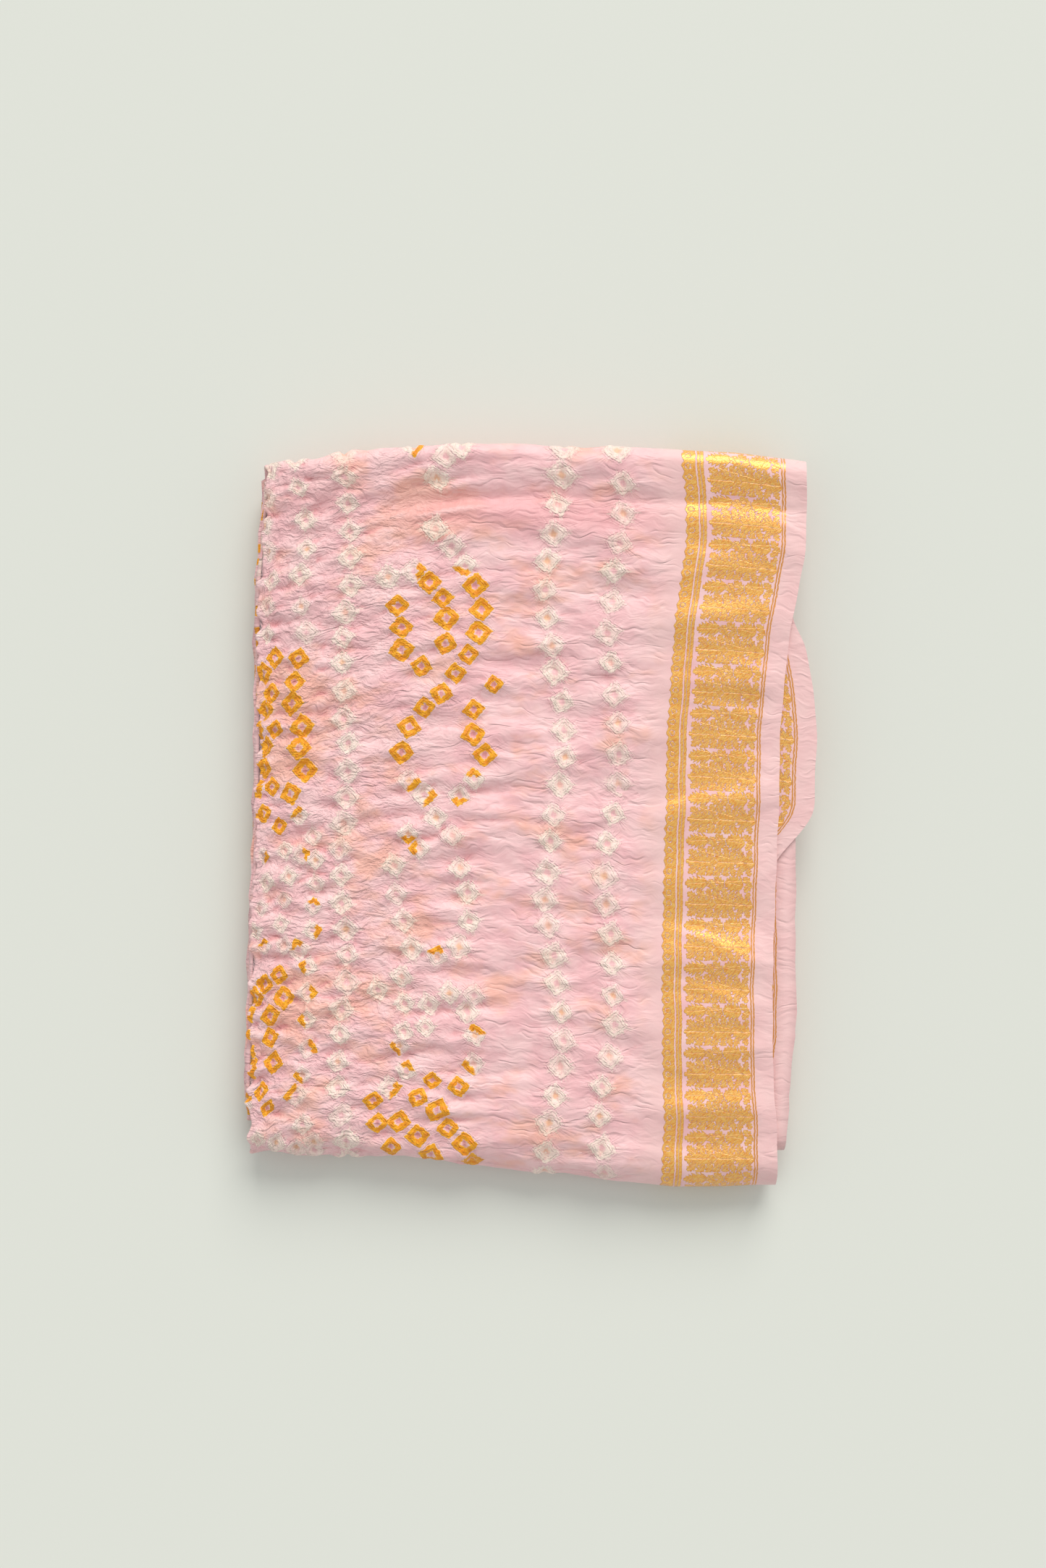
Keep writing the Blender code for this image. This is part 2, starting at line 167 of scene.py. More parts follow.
@dataclass(frozen=True)
class FoldedStack:
    """The stack of leaves: its outline, levels, folds and loft.

    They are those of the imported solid, but for a milder roll and crease along the back.
    """

    ply_width: float = 256.5 * MM
    ply_thickness: float = 1.0 * MM
    ply_pitch: float = 1.5 * MM
    leaf_pitch: float = 3.0 * MM
    fold_radius: float = 0.75 * MM
    fold_reach: float = 1.2 * MM
    side_fold_steps: int = 6
    bottom_height: float = 0.5 * MM
    free_end_inset: float = 11.0 * MM
    pass_levels: tuple[int, ...] = (3, 4, 7, 0, 1, 6, 5, 2)
    top_level: int = 7
    second_level: int = 6
    folds: tuple[Fold, ...] = (
        Fold(3, 4, 27 * MM, 1.0, 6),
        Fold(4, 7, 0 * MM, 1.35, 12),
        Fold(7, 0, 0 * MM, 1.7, 30),
        Fold(0, 1, 4 * MM, 1.0, 6),
        Fold(1, 6, 17.5 * MM, 1.2, 8),
        Fold(6, 5, 8 * MM, 1.0, 6),
        Fold(5, 2, 23 * MM, 1.2, 8),
    )

    left_edge: Curve = (
        (-174 * MM, -137 * MM), (-150 * MM, -139 * MM), (-105 * MM, -138 * MM),
        (-60 * MM, -137 * MM), (0 * MM, -135 * MM), (60 * MM, -134.5 * MM),
        (115 * MM, -134 * MM), (145 * MM, -132 * MM), (172 * MM, -130 * MM),
    )
    right_edge: Curve = (
        (-181 * MM, 120.5 * MM), (-150 * MM, 120 * MM), (-113 * MM, 118 * MM),
        (-60 * MM, 118.5 * MM), (-8 * MM, 120.5 * MM), (45 * MM, 122 * MM),
        (87 * MM, 125.5 * MM), (128 * MM, 132.5 * MM), (150 * MM, 134.5 * MM),
        (172 * MM, 134.5 * MM),
    )
    front_edge: Curve = (
        (-137 * MM, -165.5 * MM), (-120 * MM, -164.5 * MM), (-92 * MM, -165.5 * MM),
        (-66 * MM, -167 * MM), (-28 * MM, -171 * MM), (10 * MM, -175 * MM),
        (66 * MM, -180.5 * MM), (120 * MM, -181 * MM),
    )
    back_edge: Curve = (
        (-132 * MM, 169.5 * MM), (-118 * MM, 172.5 * MM), (-74 * MM, 178 * MM),
        (-11 * MM, 181 * MM), (21 * MM, 180.5 * MM), (77 * MM, 178.5 * MM),
        (108 * MM, 176 * MM), (135 * MM, 172.5 * MM),
    )
    second_ply_out: Curve = (
        (-60 * MM, -3 * MM), (-30 * MM, -1 * MM), (-18 * MM, 0.5 * MM), (4 * MM, 16 * MM),
        (18 * MM, 17.5 * MM), (45 * MM, 17.5 * MM), (68 * MM, 14 * MM), (87 * MM, 9 * MM),
        (103 * MM, 0 * MM), (130 * MM, -3 * MM),
    )
    lower_plies_out: Curve = (
        (-165 * MM, 2.5 * MM), (-135 * MM, 6 * MM), (-95 * MM, 10.5 * MM), (-50 * MM, 9 * MM),
        (-12 * MM, 8 * MM), (20 * MM, 5 * MM), (60 * MM, 1 * MM), (110 * MM, -3 * MM),
        (165 * MM, -2 * MM),
    )
    step_in_per_level: float = 0.7 * MM
    ply_slip: float = 1.6 * MM
    slip_turn_per_level: float = 2.3
    slip_turn_of_back_ply: float = 1.0

    field_loft: float = 2.8 * MM
    border_loft: float = 1.4 * MM
    loft_rim: float = 26 * MM
    right_rim_loft: float = 0.35
    front_rim_loft: float = 0.3
    left_roll_share: float = 0.35
    border_start: float = 56 * MM
    border_width: float = 66 * MM
    border_flattening: float = 40 * MM
    back_ply_loft_share: float = 0.8
    back_roll_height: float = 2.1 * MM
    back_roll_place: float = 9 * MM
    back_roll_spread: float = 9 * MM
    back_crease_place: float = 27.5 * MM
    back_crease_depth: float = 1.15 * MM
    back_crease_spread: float = 5 * MM
    front_crease_place: float = 22 * MM
    front_crease_depth: float = 1.0 * MM
    front_crease_spread: float = 5 * MM
    side_rounding: float = 3.2 * MM
    centring: float = 0.25 * MM

    @property
    def front_line(self) -> float:
        """The frontmost place of the outline."""
        return min(y for _, y in self.front_edge)

    @property
    def back_line(self) -> float:
        """The backmost place of the outline."""
        return max(y for _, y in self.back_edge)

    @property
    def length(self) -> float:
        """Length of the stack along the border."""
        return self.back_line - self.front_line

    @property
    def pressed_height(self) -> float:
        """Height between the lowest and the highest ply, before the loft."""
        return (len(self.pass_levels) - 1) * self.leaf_pitch + self.ply_pitch

    def level_height(self, level: int) -> float:
        """Height of a leaf's middle above the lowest ply."""
        return self.fold_radius + level * self.leaf_pitch

    def fold_point(self, fold: Fold, angle: float, at_front: bool) -> tuple[float, ...]:
        """Place and outward normal on the half ellipse of one fold.

        Args:
            fold: The fold.
            angle: From -90 degrees at its lower level to 90 at its upper one, in radians.
            at_front: Whether the fold is at the front of the stack.

        Returns:
            y, z, and the normal's y and z.
        """
        half_height = abs(fold.to_level - fold.from_level) * self.leaf_pitch / 2.0
        nose = half_height * fold.stretch
        side = -1.0 if at_front else 1.0
        edge = self.front_line if at_front else self.back_line
        reach = self.fold_radius + self.ply_thickness / 2.0
        middle_y = edge - side * (fold.inset + nose + reach)
        middle_z = (self.level_height(fold.from_level) + self.level_height(fold.to_level)) / 2.0
        normal = Vector((side * cos(angle) / nose, sin(angle) / half_height)).normalized()
        y = middle_y + side * nose * cos(angle)
        return y, middle_z + half_height * sin(angle), normal.x, normal.y

    def rows(self, hidden_step: float, top_step: float) -> list[Row]:
        """Every row of the unfolded cloth, from one free end to the other.

        Args:
            hidden_step: About how far the rows of a hidden pass lie apart.
            top_step: The same for the top leaf.

        Returns:
            The rows, with `along` worked out from the top leaf both ways.
        """
        placed: list[tuple[int, float, float, float, float, float]] = []
        last = len(self.pass_levels) - 1
        for index, level in enumerate(self.pass_levels):
            to_front = index % 2 == 0
            start = placed[-1][1] if placed else self.back_line - self.free_end_inset
            end = self.back_line - self.free_end_inset
            if index < last:
                end = self.fold_point(self.folds[index], pi / 2.0, to_front)[0]
            step_size = top_step if level == self.top_level else hidden_step
            steps = max(round(abs(end - start) / step_size), 2)
            lofted = 1.0 if level == self.top_level else 0.0
            for step in range(0 if index == 0 else 1, steps + 1):
                y = start + (end - start) * step / steps
                up = 1.0 if to_front else -1.0
                placed.append((level, y, self.level_height(level), 0.0, up, lofted))
            if index < last:
                placed.extend(self.fold_rows(self.folds[index], to_front))
        return self.with_length(placed)

    def fold_rows(self, fold: Fold, at_front: bool) -> list[tuple]:
        """Rows that carry the cloth round one fold, after the row that starts it.

        Args:
            fold: The fold.
            at_front: Whether it lies at the front of the stack.

        Returns:
            The rows round the fold.
        """
        rising = 1.0 if fold.to_level > fold.from_level else -1.0
        face = 1.0 if (rising < 0.0) == at_front else -1.0
        reaches_top = self.top_level in (fold.from_level, fold.to_level)
        lowest = self.level_height(min(fold.from_level, fold.to_level))
        rows = []
        for step in range(1, fold.steps + 1):
            angle = rising * (-pi / 2.0 + pi * step / fold.steps)
            y, z, normal_y, normal_z = self.fold_point(fold, angle, at_front)
            level = fold.from_level if step < fold.steps / 2.0 else fold.to_level
            climbed = (z - lowest) / (self.level_height(self.top_level) - lowest)
            lofted = ease(climbed) if reaches_top else 0.0
            rows.append((level, y, z, face * normal_y, face * normal_z, lofted))
        return rows

    def with_length(self, placed: list[tuple]) -> list[Row]:
        """Measure the rows' places along the flat cloth.

        Args:
            placed: Rows without their place along the cloth.

        Returns:
            The same rows, whose `along` is y on the top leaf and goes on round the folds.
        """
        gone = [0.0]
        for before, after in zip(placed, placed[1:]):
            gone.append(gone[-1] + hypot(after[1] - before[1], after[2] - before[2]))
        top = next(i for i, row in enumerate(placed) if row[0] == self.top_level and row[5] == 1.0)
        return [
            Row(*row, along=placed[top][1] - (gone[i] - gone[top])) for i, row in enumerate(placed)
        ]

    def columns(self, face_step: float, border_step: float, back_steps: int) -> list[Column]:
        """Columns across the doubled cloth, from one woven edge to the other.

        Args:
            face_step: How far the face ply's columns lie apart in its tied field.
            border_step: The same in its smooth border.
            back_steps: How many steps the back ply takes.

        Returns:
            The columns.
        """
        shares = [0.0]
        width = self.ply_width
        field_end = 1.0 - self.border_width / width
        while shares[-1] < field_end:
            shares.append(shares[-1] + face_step / width)
        steps = max(round((1.0 - shares[-1]) * width / border_step), 2)
        first = shares[-1]
        shares.extend(first + (1.0 - first) * step / steps for step in range(1, steps + 1))
        columns = [Column(share, self.fold_radius, 0.0) for share in reversed(shares)]
        for step in range(1, self.side_fold_steps):
            angle = pi / 2.0 + pi * step / self.side_fold_steps
            columns.append(
                Column(0.0, self.fold_radius * sin(angle), self.fold_reach * cos(angle))
            )
        for step in range(back_steps + 1):
            share = 0.5 - 0.5 * cos(pi * step / back_steps)
            columns.append(Column(share, -self.fold_radius, 0.0))
        return columns

    def right_edge_out(self, level: int, on_back_ply: bool, y: float) -> float:
        """How far this ply's right edge stands past the top ply's edge.

        Args:
            level: Level of the leaf.
            on_back_ply: Whether it is the lower ply.
            y: Place along the stack.

        Returns:
            How far the edge stands out.
        """
        if level == self.top_level:
            return read_curve(self.second_ply_out, y) if on_back_ply else 0.0
        turn = self.slip_turn_per_level * level
        turn += self.slip_turn_of_back_ply if on_back_ply else 0.0
        step_in = (self.second_level - level) * self.step_in_per_level
        return read_curve(self.lower_plies_out, y) + self.ply_slip * sin(turn) - step_in

    def side_inset(self, height: float) -> float:
        """How far the left folds step in towards the top and the bottom of the stack."""
        middle = self.pressed_height / 2.0
        return self.side_rounding * ((height - middle) / middle) ** 2

    def loft(self, x: float, y: float, left: float, right: float, front: float, back: float) -> float:
        """Height of the top leaf over its pressed height at one place, without its ridges.

        Args:
            x: Place across the stack.
            y: Place along the stack.
            left: Left outline there.
            right: Right outline there.
            front: Front outline there.
            back: Back outline there.

        Returns:
            The height.
        """
        into_border = ease((x - self.border_start) / self.border_flattening + 0.5)
        body = self.field_loft + (self.border_loft - self.field_loft) * into_border
        left_rim = ease((x - left) / self.loft_rim)
        right_rim = ease((right - x) / self.loft_rim)
        right_rim = self.right_rim_loft + (1.0 - self.right_rim_loft) * right_rim
        front_rim = ease((y - front) / self.loft_rim)
        front_rim = self.front_rim_loft + (1.0 - self.front_rim_loft) * front_rim
        roll = self.back_roll_height * bell(back - self.back_roll_place - y, self.back_roll_spread)
        crease = self.back_crease_depth * bell(
            back - self.back_crease_place - y, self.back_crease_spread
        )
        front_crease = self.front_crease_depth * bell(
            y - front - self.front_crease_place, self.front_crease_spread
        )
        roll_share = self.left_roll_share + (1.0 - self.left_roll_share) * left_rim
        body *= left_rim * right_rim * front_rim
        return max(body + (roll - crease) * roll_share - front_crease, 0.0)

    def plan_to_along(self, x: float, y: float) -> float:
        """Place along the flat cloth of a point of the top leaf, seen from above."""
        front = read_curve(self.front_edge, x)
        back = read_curve(self.back_edge, x)
        return self.front_line + self.length * (y - front) / (back - front)


class Tie(Enum):
    """How the tied squares of a run were dyed; the value is the share of orange."""

    CREAM = 0.0
    FLECKED = 0.5
    ORANGE = 1.0


@dataclass(frozen=True)
class TiedSquare:
    """One tied square, where it lies on the top leaf, seen from above."""

    x: float
    y: float
    half: float
    tie: Tie
    tilt: float
    turn: float


@dataclass(frozen=True)
class Run:
    """Squares tied one after another: a start, one pitch and a heading for each step."""

    tie: Tie
    start: tuple[float, float]
    pitch: float = 0.0
    headings: tuple[float, ...] = ()
    half: float = 5.7 * MM

    def places(self) -> list[tuple[float, float]]:
        """Where the run's squares lie.

        Returns:
            The middle of each square.
        """
        x, y = self.start
        found = [(x, y)]
        for heading in self.headings:
            x += self.pitch * cos(radians(heading))
            y += self.pitch * sin(radians(heading))
            found.append((x, y))
        return found


@dataclass(frozen=True)
class Line:
    """A long line of squares beside the border, swaying a little as it goes."""

    tie: Tie
    back: tuple[float, float]
    front: tuple[float, float]
    pitch: float
    sway: float
    sway_pitch: float
    half: float = 6.2 * MM

    def places(self) -> list[tuple[float, float]]:
        """Where the line's squares lie.

        Returns:
            The middle of each square.
        """
        (x0, y0), (x1, y1) = self.back, self.front
        steps = max(round(hypot(x1 - x0, y1 - y0) / self.pitch), 1)
        found = []
        for step in range(steps + 1):
            share = step / steps
            y = y0 + (y1 - y0) * share
            x = x0 + (x1 - x0) * share + self.sway * sin(2.0 * pi * y / self.sway_pitch)
            found.append((x, y))
        return found


@dataclass(frozen=True)
class BandhaniChart:
    """The tied pattern of one leaf, charted as runs and lines of squares.

    Places are in the plan of the top leaf. The same chart repeats along the cloth.
    """

    scroll: tuple[Run, ...] = (
        Run(Tie.FLECKED, (-55.3 * MM, 118.3 * MM), 0.0, ()),
        Run(Tie.ORANGE, (-48 * MM, 113.4 * MM), 10.8 * MM, (-46, -80, -96)),
        Run(Tie.ORANGE, (-62.7 * MM, 102.6 * MM), 11.6 * MM, (-84, -88, -34)),
        Run(Tie.FLECKED, (-30.5 * MM, 120.4 * MM)),
        Run(
            Tie.ORANGE, (-24.9 * MM, 112 * MM), 11.6 * MM,
            (-78, -95, -117, -125, -127, -137, -124, -108),
        ),
        Run(Tie.FLECKED, (-57.1 * MM, 17.9 * MM), 10 * MM, (-48,)),
        Run(Tie.ORANGE, (-27 * MM, 52.2 * MM), 12 * MM, (-87, -69)),
        Run(Tie.FLECKED, (-25.6 * MM, 17.2 * MM), 11.4 * MM, (-140,)),
        Run(Tie.ORANGE, (-16.1 * MM, 64.1 * MM), half=4.6 * MM),
    )
    lower_scroll: tuple[Run, ...] = (
        Run(Tie.FLECKED, (-58.5 * MM, -123.6 * MM)),
        Run(Tie.ORANGE, (-46.2 * MM, -126.7 * MM), 13.6 * MM, (-15,), half=5.0 * MM),
        Run(Tie.ORANGE, (-53.9 * MM, -135.8 * MM), 10.9 * MM, (-36, -57, -44, -74)),
        Run(Tie.FLECKED, (-67.9 * MM, -130.9 * MM)),
        Run(Tie.ORANGE, (-75.6 * MM, -136.9 * MM), 12.4 * MM, (-80, -60), half=5.0 * MM),
        Run(Tie.ORANGE, (-63.4 * MM, -146.7 * MM), 12.0 * MM, (-40, -51)),
        Run(Tie.FLECKED, (-26.6 * MM, -105.7 * MM), 13.3 * MM, (-92,)),
    )
    left_figure: tuple[Run, ...] = (
        Run(
            Tie.ORANGE, (-124.3 * MM, 76.7 * MM), 9.6 * MM,
            (-120, -64, -109, -65, -113, -94, -66, -25), half=5.7 * MM,
        ),
        Run(
            Tie.ORANGE, (-111 * MM, 76.3 * MM), 11.2 * MM, (-105, -94, -67, -95, -78),
            half=6.1 * MM,
        ),
        Run(Tie.ORANGE, (-130.6 * MM, 41 * MM), half=4.6 * MM),
        Run(Tie.ORANGE, (-131.3 * MM, 12.3 * MM), 11 * MM, (-80, -34), half=4.8 * MM),
        Run(Tie.FLECKED, (-109.9 * MM, -0.4 * MM)),
        Run(Tie.FLECKED, (-129.2 * MM, -20 * MM), 19 * MM, (2,), half=5.0 * MM),
        Run(Tie.FLECKED, (-105 * MM, -42.7 * MM), 12.6 * MM, (-89,), half=5.0 * MM),
    )
    left_lower_figure: tuple[Run, ...] = (
        Run(Tie.FLECKED, (-111 * MM, -64.1 * MM)),
        Run(Tie.FLECKED, (-129 * MM, -64 * MM), half=4.4 * MM),
        Run(Tie.FLECKED, (-106.4 * MM, -72.5 * MM), 12.4 * MM, (-93, -92), half=5.0 * MM),
        Run(Tie.ORANGE, (-129.2 * MM, -80.9 * MM), 8.6 * MM, (-121, -105, -98, -95, -70)),
        Run(Tie.ORANGE, (-120.8 * MM, -76.7 * MM), 11 * MM, (-82, -122, -92, -78), half=5.9 * MM),
        Run(Tie.FLECKED, (-107.5 * MM, -112 * MM), 12 * MM, (-100,), half=5.0 * MM),
        Run(Tie.ORANGE, (-131.3 * MM, -132.3 * MM), 9.2 * MM, (-66,), half=5.2 * MM),
        Run(Tie.FLECKED, (-136.9 * MM, -139.7 * MM), half=4.6 * MM),
        Run(Tie.FLECKED, (-112.4 * MM, -135.1 * MM)),
    )
    cream_figure: tuple[Run, ...] = (
        Run(Tie.CREAM, (-43.8 * MM, -1.4 * MM), 10.4 * MM, (-48,)),
        Run(Tie.FLECKED, (-58.5 * MM, -9.1 * MM), 8.4 * MM, (-45,)),
        Run(Tie.CREAM, (-65.5 * MM, -24.2 * MM), 13.8 * MM, (-84, -73, -75, -112)),
        Run(Tie.CREAM, (-33 * MM, -24.2 * MM), 13.6 * MM, (-74, -88, -112), half=5.8 * MM),
        Run(Tie.FLECKED, (-44.5 * MM, -66.9 * MM)),
        Run(Tie.CREAM, (-60 * MM, -89.6 * MM), 11.8 * MM, (-10, 37, -6), half=5.6 * MM),
        Run(Tie.CREAM, (-30.1 * MM, -93.5 * MM), half=5.6 * MM),
        Run(Tie.CREAM, (-50 * MM, -101.2 * MM), 10.4 * MM, (196,), half=5.6 * MM),
        Run(Tie.FLECKED, (-61.6 * MM, -110 * MM), half=4.8 * MM),
        Run(Tie.CREAM, (-73.5 * MM, -83 * MM), half=5.2 * MM),
        Run(Tie.CREAM, (-33 * MM, 177.5 * MM), 8.5 * MM, (216,)),
        Run(Tie.CREAM, (-44.8 * MM, 163.1 * MM), half=6.6 * MM),
        Run(Tie.CREAM, (-44.8 * MM, 139.6 * MM), 11.4 * MM, (-52,), half=6.4 * MM),
        Run(Tie.CREAM, (-68.2 * MM, 115.5 * MM)),
        Run(Tie.FLECKED, (-55 * MM, 178.5 * MM), half=4.6 * MM),
    )
    lines: tuple[Line, ...] = (
        Line(Tie.CREAM, (-87 * MM, 176 * MM), (-91 * MM, -170 * MM), 12.6 * MM, 2.2 * MM, 97 * MM),
        Line(Tie.CREAM, (13 * MM, 178 * MM), (12 * MM, -176 * MM), 13.8 * MM, 4.2 * MM, 141 * MM),
        Line(Tie.CREAM, (43 * MM, 176 * MM), (37 * MM, -174 * MM), 14.3 * MM, 2.8 * MM, 118 * MM),
        Line(
            Tie.CREAM, (-127 * MM, 167 * MM), (-126.5 * MM, 88 * MM), 12.2 * MM, 1.2 * MM, 52 * MM,
            half=5.4 * MM,
        ),
        Line(
            Tie.CREAM, (-111 * MM, 172 * MM), (-108 * MM, 88 * MM), 13.2 * MM, 1.6 * MM, 61 * MM,
            half=5.6 * MM,
        ),
        Line(
            Tie.CREAM, (-128 * MM, -33 * MM), (-131 * MM, -56 * MM), 11.5 * MM, 0.8 * MM, 40 * MM,
            half=5.0 * MM,
        ),
        Line(
            Tie.CREAM, (-117 * MM, -17 * MM), (-119 * MM, -63 * MM), 11.5 * MM, 1.0 * MM, 40 * MM,
            half=5.0 * MM,
        ),
        Line(
            Tie.CREAM, (-104 * MM, -10 * MM), (-104 * MM, -32 * MM), 11.5 * MM, 1.0 * MM, 40 * MM,
            half=5.2 * MM,
        ),
        Line(
            Tie.CREAM, (-132 * MM, -157 * MM), (-104 * MM, -163 * MM), 11 * MM, 1.5 * MM, 40 * MM,
            half=5.2 * MM,
        ),
        Line(
            Tie.CREAM, (-111 * MM, -149 * MM), (-106 * MM, -157 * MM), 9.5 * MM, 1.5 * MM, 40 * MM,
            half=5.2 * MM,
        ),
    )
    drift: float = 0.9 * MM
    smallest: float = 0.88
    largest: float = 1.1
    tilt_reach: float = 14.0
    seed: int = 11

    def squares(self) -> list[TiedSquare]:
        """Every tied square of one leaf, each a little off its charted place.

        Returns:
            The squares of the leaf.
        """
        chance = Random(self.seed)
        runs: tuple[Run | Line, ...] = (
            self.scroll + self.lower_scroll + self.left_figure + self.left_lower_figure
            + self.cream_figure + self.lines
        )
        found = []
        for run in runs:
            for x, y in run.places():
                found.append(
                    TiedSquare(
                        x=x + chance.uniform(-self.drift, self.drift),
                        y=y + chance.uniform(-self.drift, self.drift),
                        half=run.half * chance.uniform(self.smallest, self.largest),
                        tie=run.tie,
                        tilt=radians(chance.uniform(-self.tilt_reach, self.tilt_reach)),
                        turn=chance.uniform(0.0, 2.0 * pi),
                    )
                )
        return found


@dataclass(frozen=True)
class Hills:
    """One layer of wrinkles: its height, how far its hills lie apart each way, and its seed."""

    height: float
    pitch_x: float
    pitch_along: float
    seed_step: int


@dataclass(frozen=True)
class CrinkledRelief:
    """Height of the crinkled silk over its smooth leaf.

    It is held as a fine raster: X across the top leaf, and the place along the cloth. Tying leaves
    a small pit with a raised rim at each square, and pleats that run out from it, mostly across
    the cloth, and meet those of its neighbours.
    """

    step: float = 0.5 * MM
    low_x: float = -145.0 * MM
    high_x: float = 142.0 * MM
    low_along: float = -230.0 * MM
    high_along: float = 206.0 * MM
    highest: float = 3.1 * MM
    seed: int = 5

    pit_depth: float = 1.2 * MM
    pit_reach: float = 0.55
    rim_height: float = 0.75 * MM
    rim_place: float = 0.9
    rim_width: float = 0.3
    uneven_rim: tuple[float, float] = (0.6, 1.1)

    pleats: int = 9
    pleat_height: float = 1.25 * MM
    uneven_height: tuple[float, float] = (0.5, 1.15)
    pleat_width: float = 1.2 * MM
    pleat_widening: float = 0.06
    pleat_reach: float = 17.0 * MM
    uneven_reach: tuple[float, float] = (0.6, 1.25)
    least_reach: float = 0.42
    reach_sideways: float = 0.75
    longest_reach: float = 1.5
    pleat_squash: float = 0.5
    pleat_drift: float = 0.35
    pleat_bend: float = 0.014
    pleat_start: float = 2.4 * MM

    lean: Curve = (
        (-145 * MM, 0.0), (-100 * MM, 0.0), (-50 * MM, 13 * MM), (0.0, 18 * MM), (60 * MM, 20 * MM),
        (142 * MM, 22 * MM),
    )
    fine_zone: tuple[float, float] = (-60 * MM, -40 * MM)  # where each starts and its fade
    broad_zone: tuple[float, float] = (-35 * MM, 60 * MM)
    border_zone: tuple[float, float] = (48 * MM, 22 * MM)
    fine_soft: Hills = Hills(1.1 * MM, 6.5 * MM, 3.0 * MM, 1)
    fine_full: Hills = Hills(0.9 * MM, 9 * MM, 4.8 * MM, 10)
    medium_soft: Hills = Hills(1.4 * MM, 14 * MM, 3.9 * MM, 2)
    medium_full: Hills = Hills(0.9 * MM, 16 * MM, 6.0 * MM, 3)
    broad_soft: Hills = Hills(1.5 * MM, 19 * MM, 5.4 * MM, 4)
    broad_full: Hills = Hills(1.0 * MM, 22 * MM, 8.0 * MM, 5)
    rolling: Hills = Hills(0.9 * MM, 34 * MM, 14 * MM, 6)
    small: Hills = Hills(0.2 * MM, 4.5 * MM, 2.6 * MM, 7)
    border_soft: Hills = Hills(1.2 * MM, 45 * MM, 10 * MM, 8)
    border_sharp: Hills = Hills(0.6 * MM, 26 * MM, 8 * MM, 9)
    spread: float = 2.2
    sharpness: float = 1.9
    fullness: float = 1.15
    trough_rounding: float = 0.004
    wrinkle_gain: float = 1.2
    wrinkle_drop: float = 1.0 * MM

    groove_course: Curve = ((-90 * MM, 152 * MM), (20 * MM, 154.5 * MM), (135 * MM, 155.5 * MM))
    groove_start: float = -110 * MM
    groove_fade: float = 30 * MM
    groove_depth: float = 0.65 * MM
    groove_back: float = 3.0 * MM
    groove_front: float = 2.6 * MM
    groove_sway: tuple[float, float] = (0.9 * MM, 13 * MM)  # how far, and over what length
    groove_waver: tuple[float, float] = (0.5 * MM, 5 * MM)
    crest_reach: float = 2.5 * MM

    @property
    def size(self) -> tuple[int, int]:
        """Rows and columns of the raster."""
        rows = round((self.high_along - self.low_along) / self.step) + 1
        columns = round((self.high_x - self.low_x) / self.step) + 1
        return rows, columns

    @property
    def columns_x(self) -> np.ndarray:
        """Place across the leaf of each column of the raster."""
        return self.low_x + np.arange(self.size[1]) * self.step

    def random_hills(self, layer: Hills) -> np.ndarray:
        """Smooth random hills over the raster.

        Args:
            layer: How far the hills lie apart, and their seed.

        Returns:
            A raster of about -1 to 1.
        """
        rows, columns = self.size
        tall = self.spline_weights(rows, layer.pitch_along)
        wide = self.spline_weights(columns, layer.pitch_x)
        chance = np.random.default_rng(self.seed + layer.seed_step)
        lattice = chance.normal(size=(tall.shape[1], wide.shape[1]))
        hills = tall @ lattice @ wide.T
        return hills / (self.spread * hills.std())

    def spline_weights(self, count: int, pitch: float) -> np.ndarray:
        """Weights that spread lattice values over raster steps as a smooth cubic spline.

        Args:
            count: Steps of the raster.
            pitch: Distance between lattice values.

        Returns:
            A matrix of raster steps by lattice values.
        """
        place = np.arange(count) * self.step / pitch
        whole = np.floor(place).astype(int)
        t = place - whole
        weights = np.zeros((count, whole[-1] + 4))
        taps = (
            (1.0 - t) ** 3 / 6.0,
            (3.0 * t ** 3 - 6.0 * t ** 2 + 4.0) / 6.0,
            (-3.0 * t ** 3 + 3.0 * t ** 2 + 3.0 * t + 1.0) / 6.0,
            t ** 3 / 6.0,
        )
        for offset, tap in enumerate(taps):
            weights[np.arange(count), whole + offset] = tap
        return weights

    def soft(self, layer: Hills) -> np.ndarray:
        """Heights of smooth hills."""
        return layer.height * self.random_hills(layer)

    def sharp(self, layer: Hills) -> np.ndarray:
        """Heights of sharp crests between soft troughs."""
        crest = 1.0 - np.abs(self.random_hills(layer)) * self.sharpness
        return layer.height * np.maximum(crest, 0.0)

    def full(self, layer: Hills) -> np.ndarray:
        """Heights of full hills between sharp troughs."""
        hills = np.sqrt(np.abs(self.random_hills(layer)) + self.trough_rounding)
        return layer.height * (hills * self.fullness)

    def leaned(self, hills: np.ndarray) -> np.ndarray:
        """Lean wrinkles that run across the cloth, so that they climb where the cloth was pulled.

        Args:
            hills: The raster of wrinkles.

        Returns:
            The raster with each column shifted along the cloth.
        """
        shifted = hills.copy()
        for column in range(self.size[1]):
            shift = read_curve(self.lean, self.low_x + column * self.step)
            shifted[:, column] = np.roll(hills[:, column], round(shift / self.step))
        return shifted

    def share_in(self, zone: tuple[float, float]) -> np.ndarray:
        """How far each column lies in a zone, from 0 to 1."""
        start, fade = zone
        return np.clip((self.columns_x - start) / fade, 0.0, 1.0)

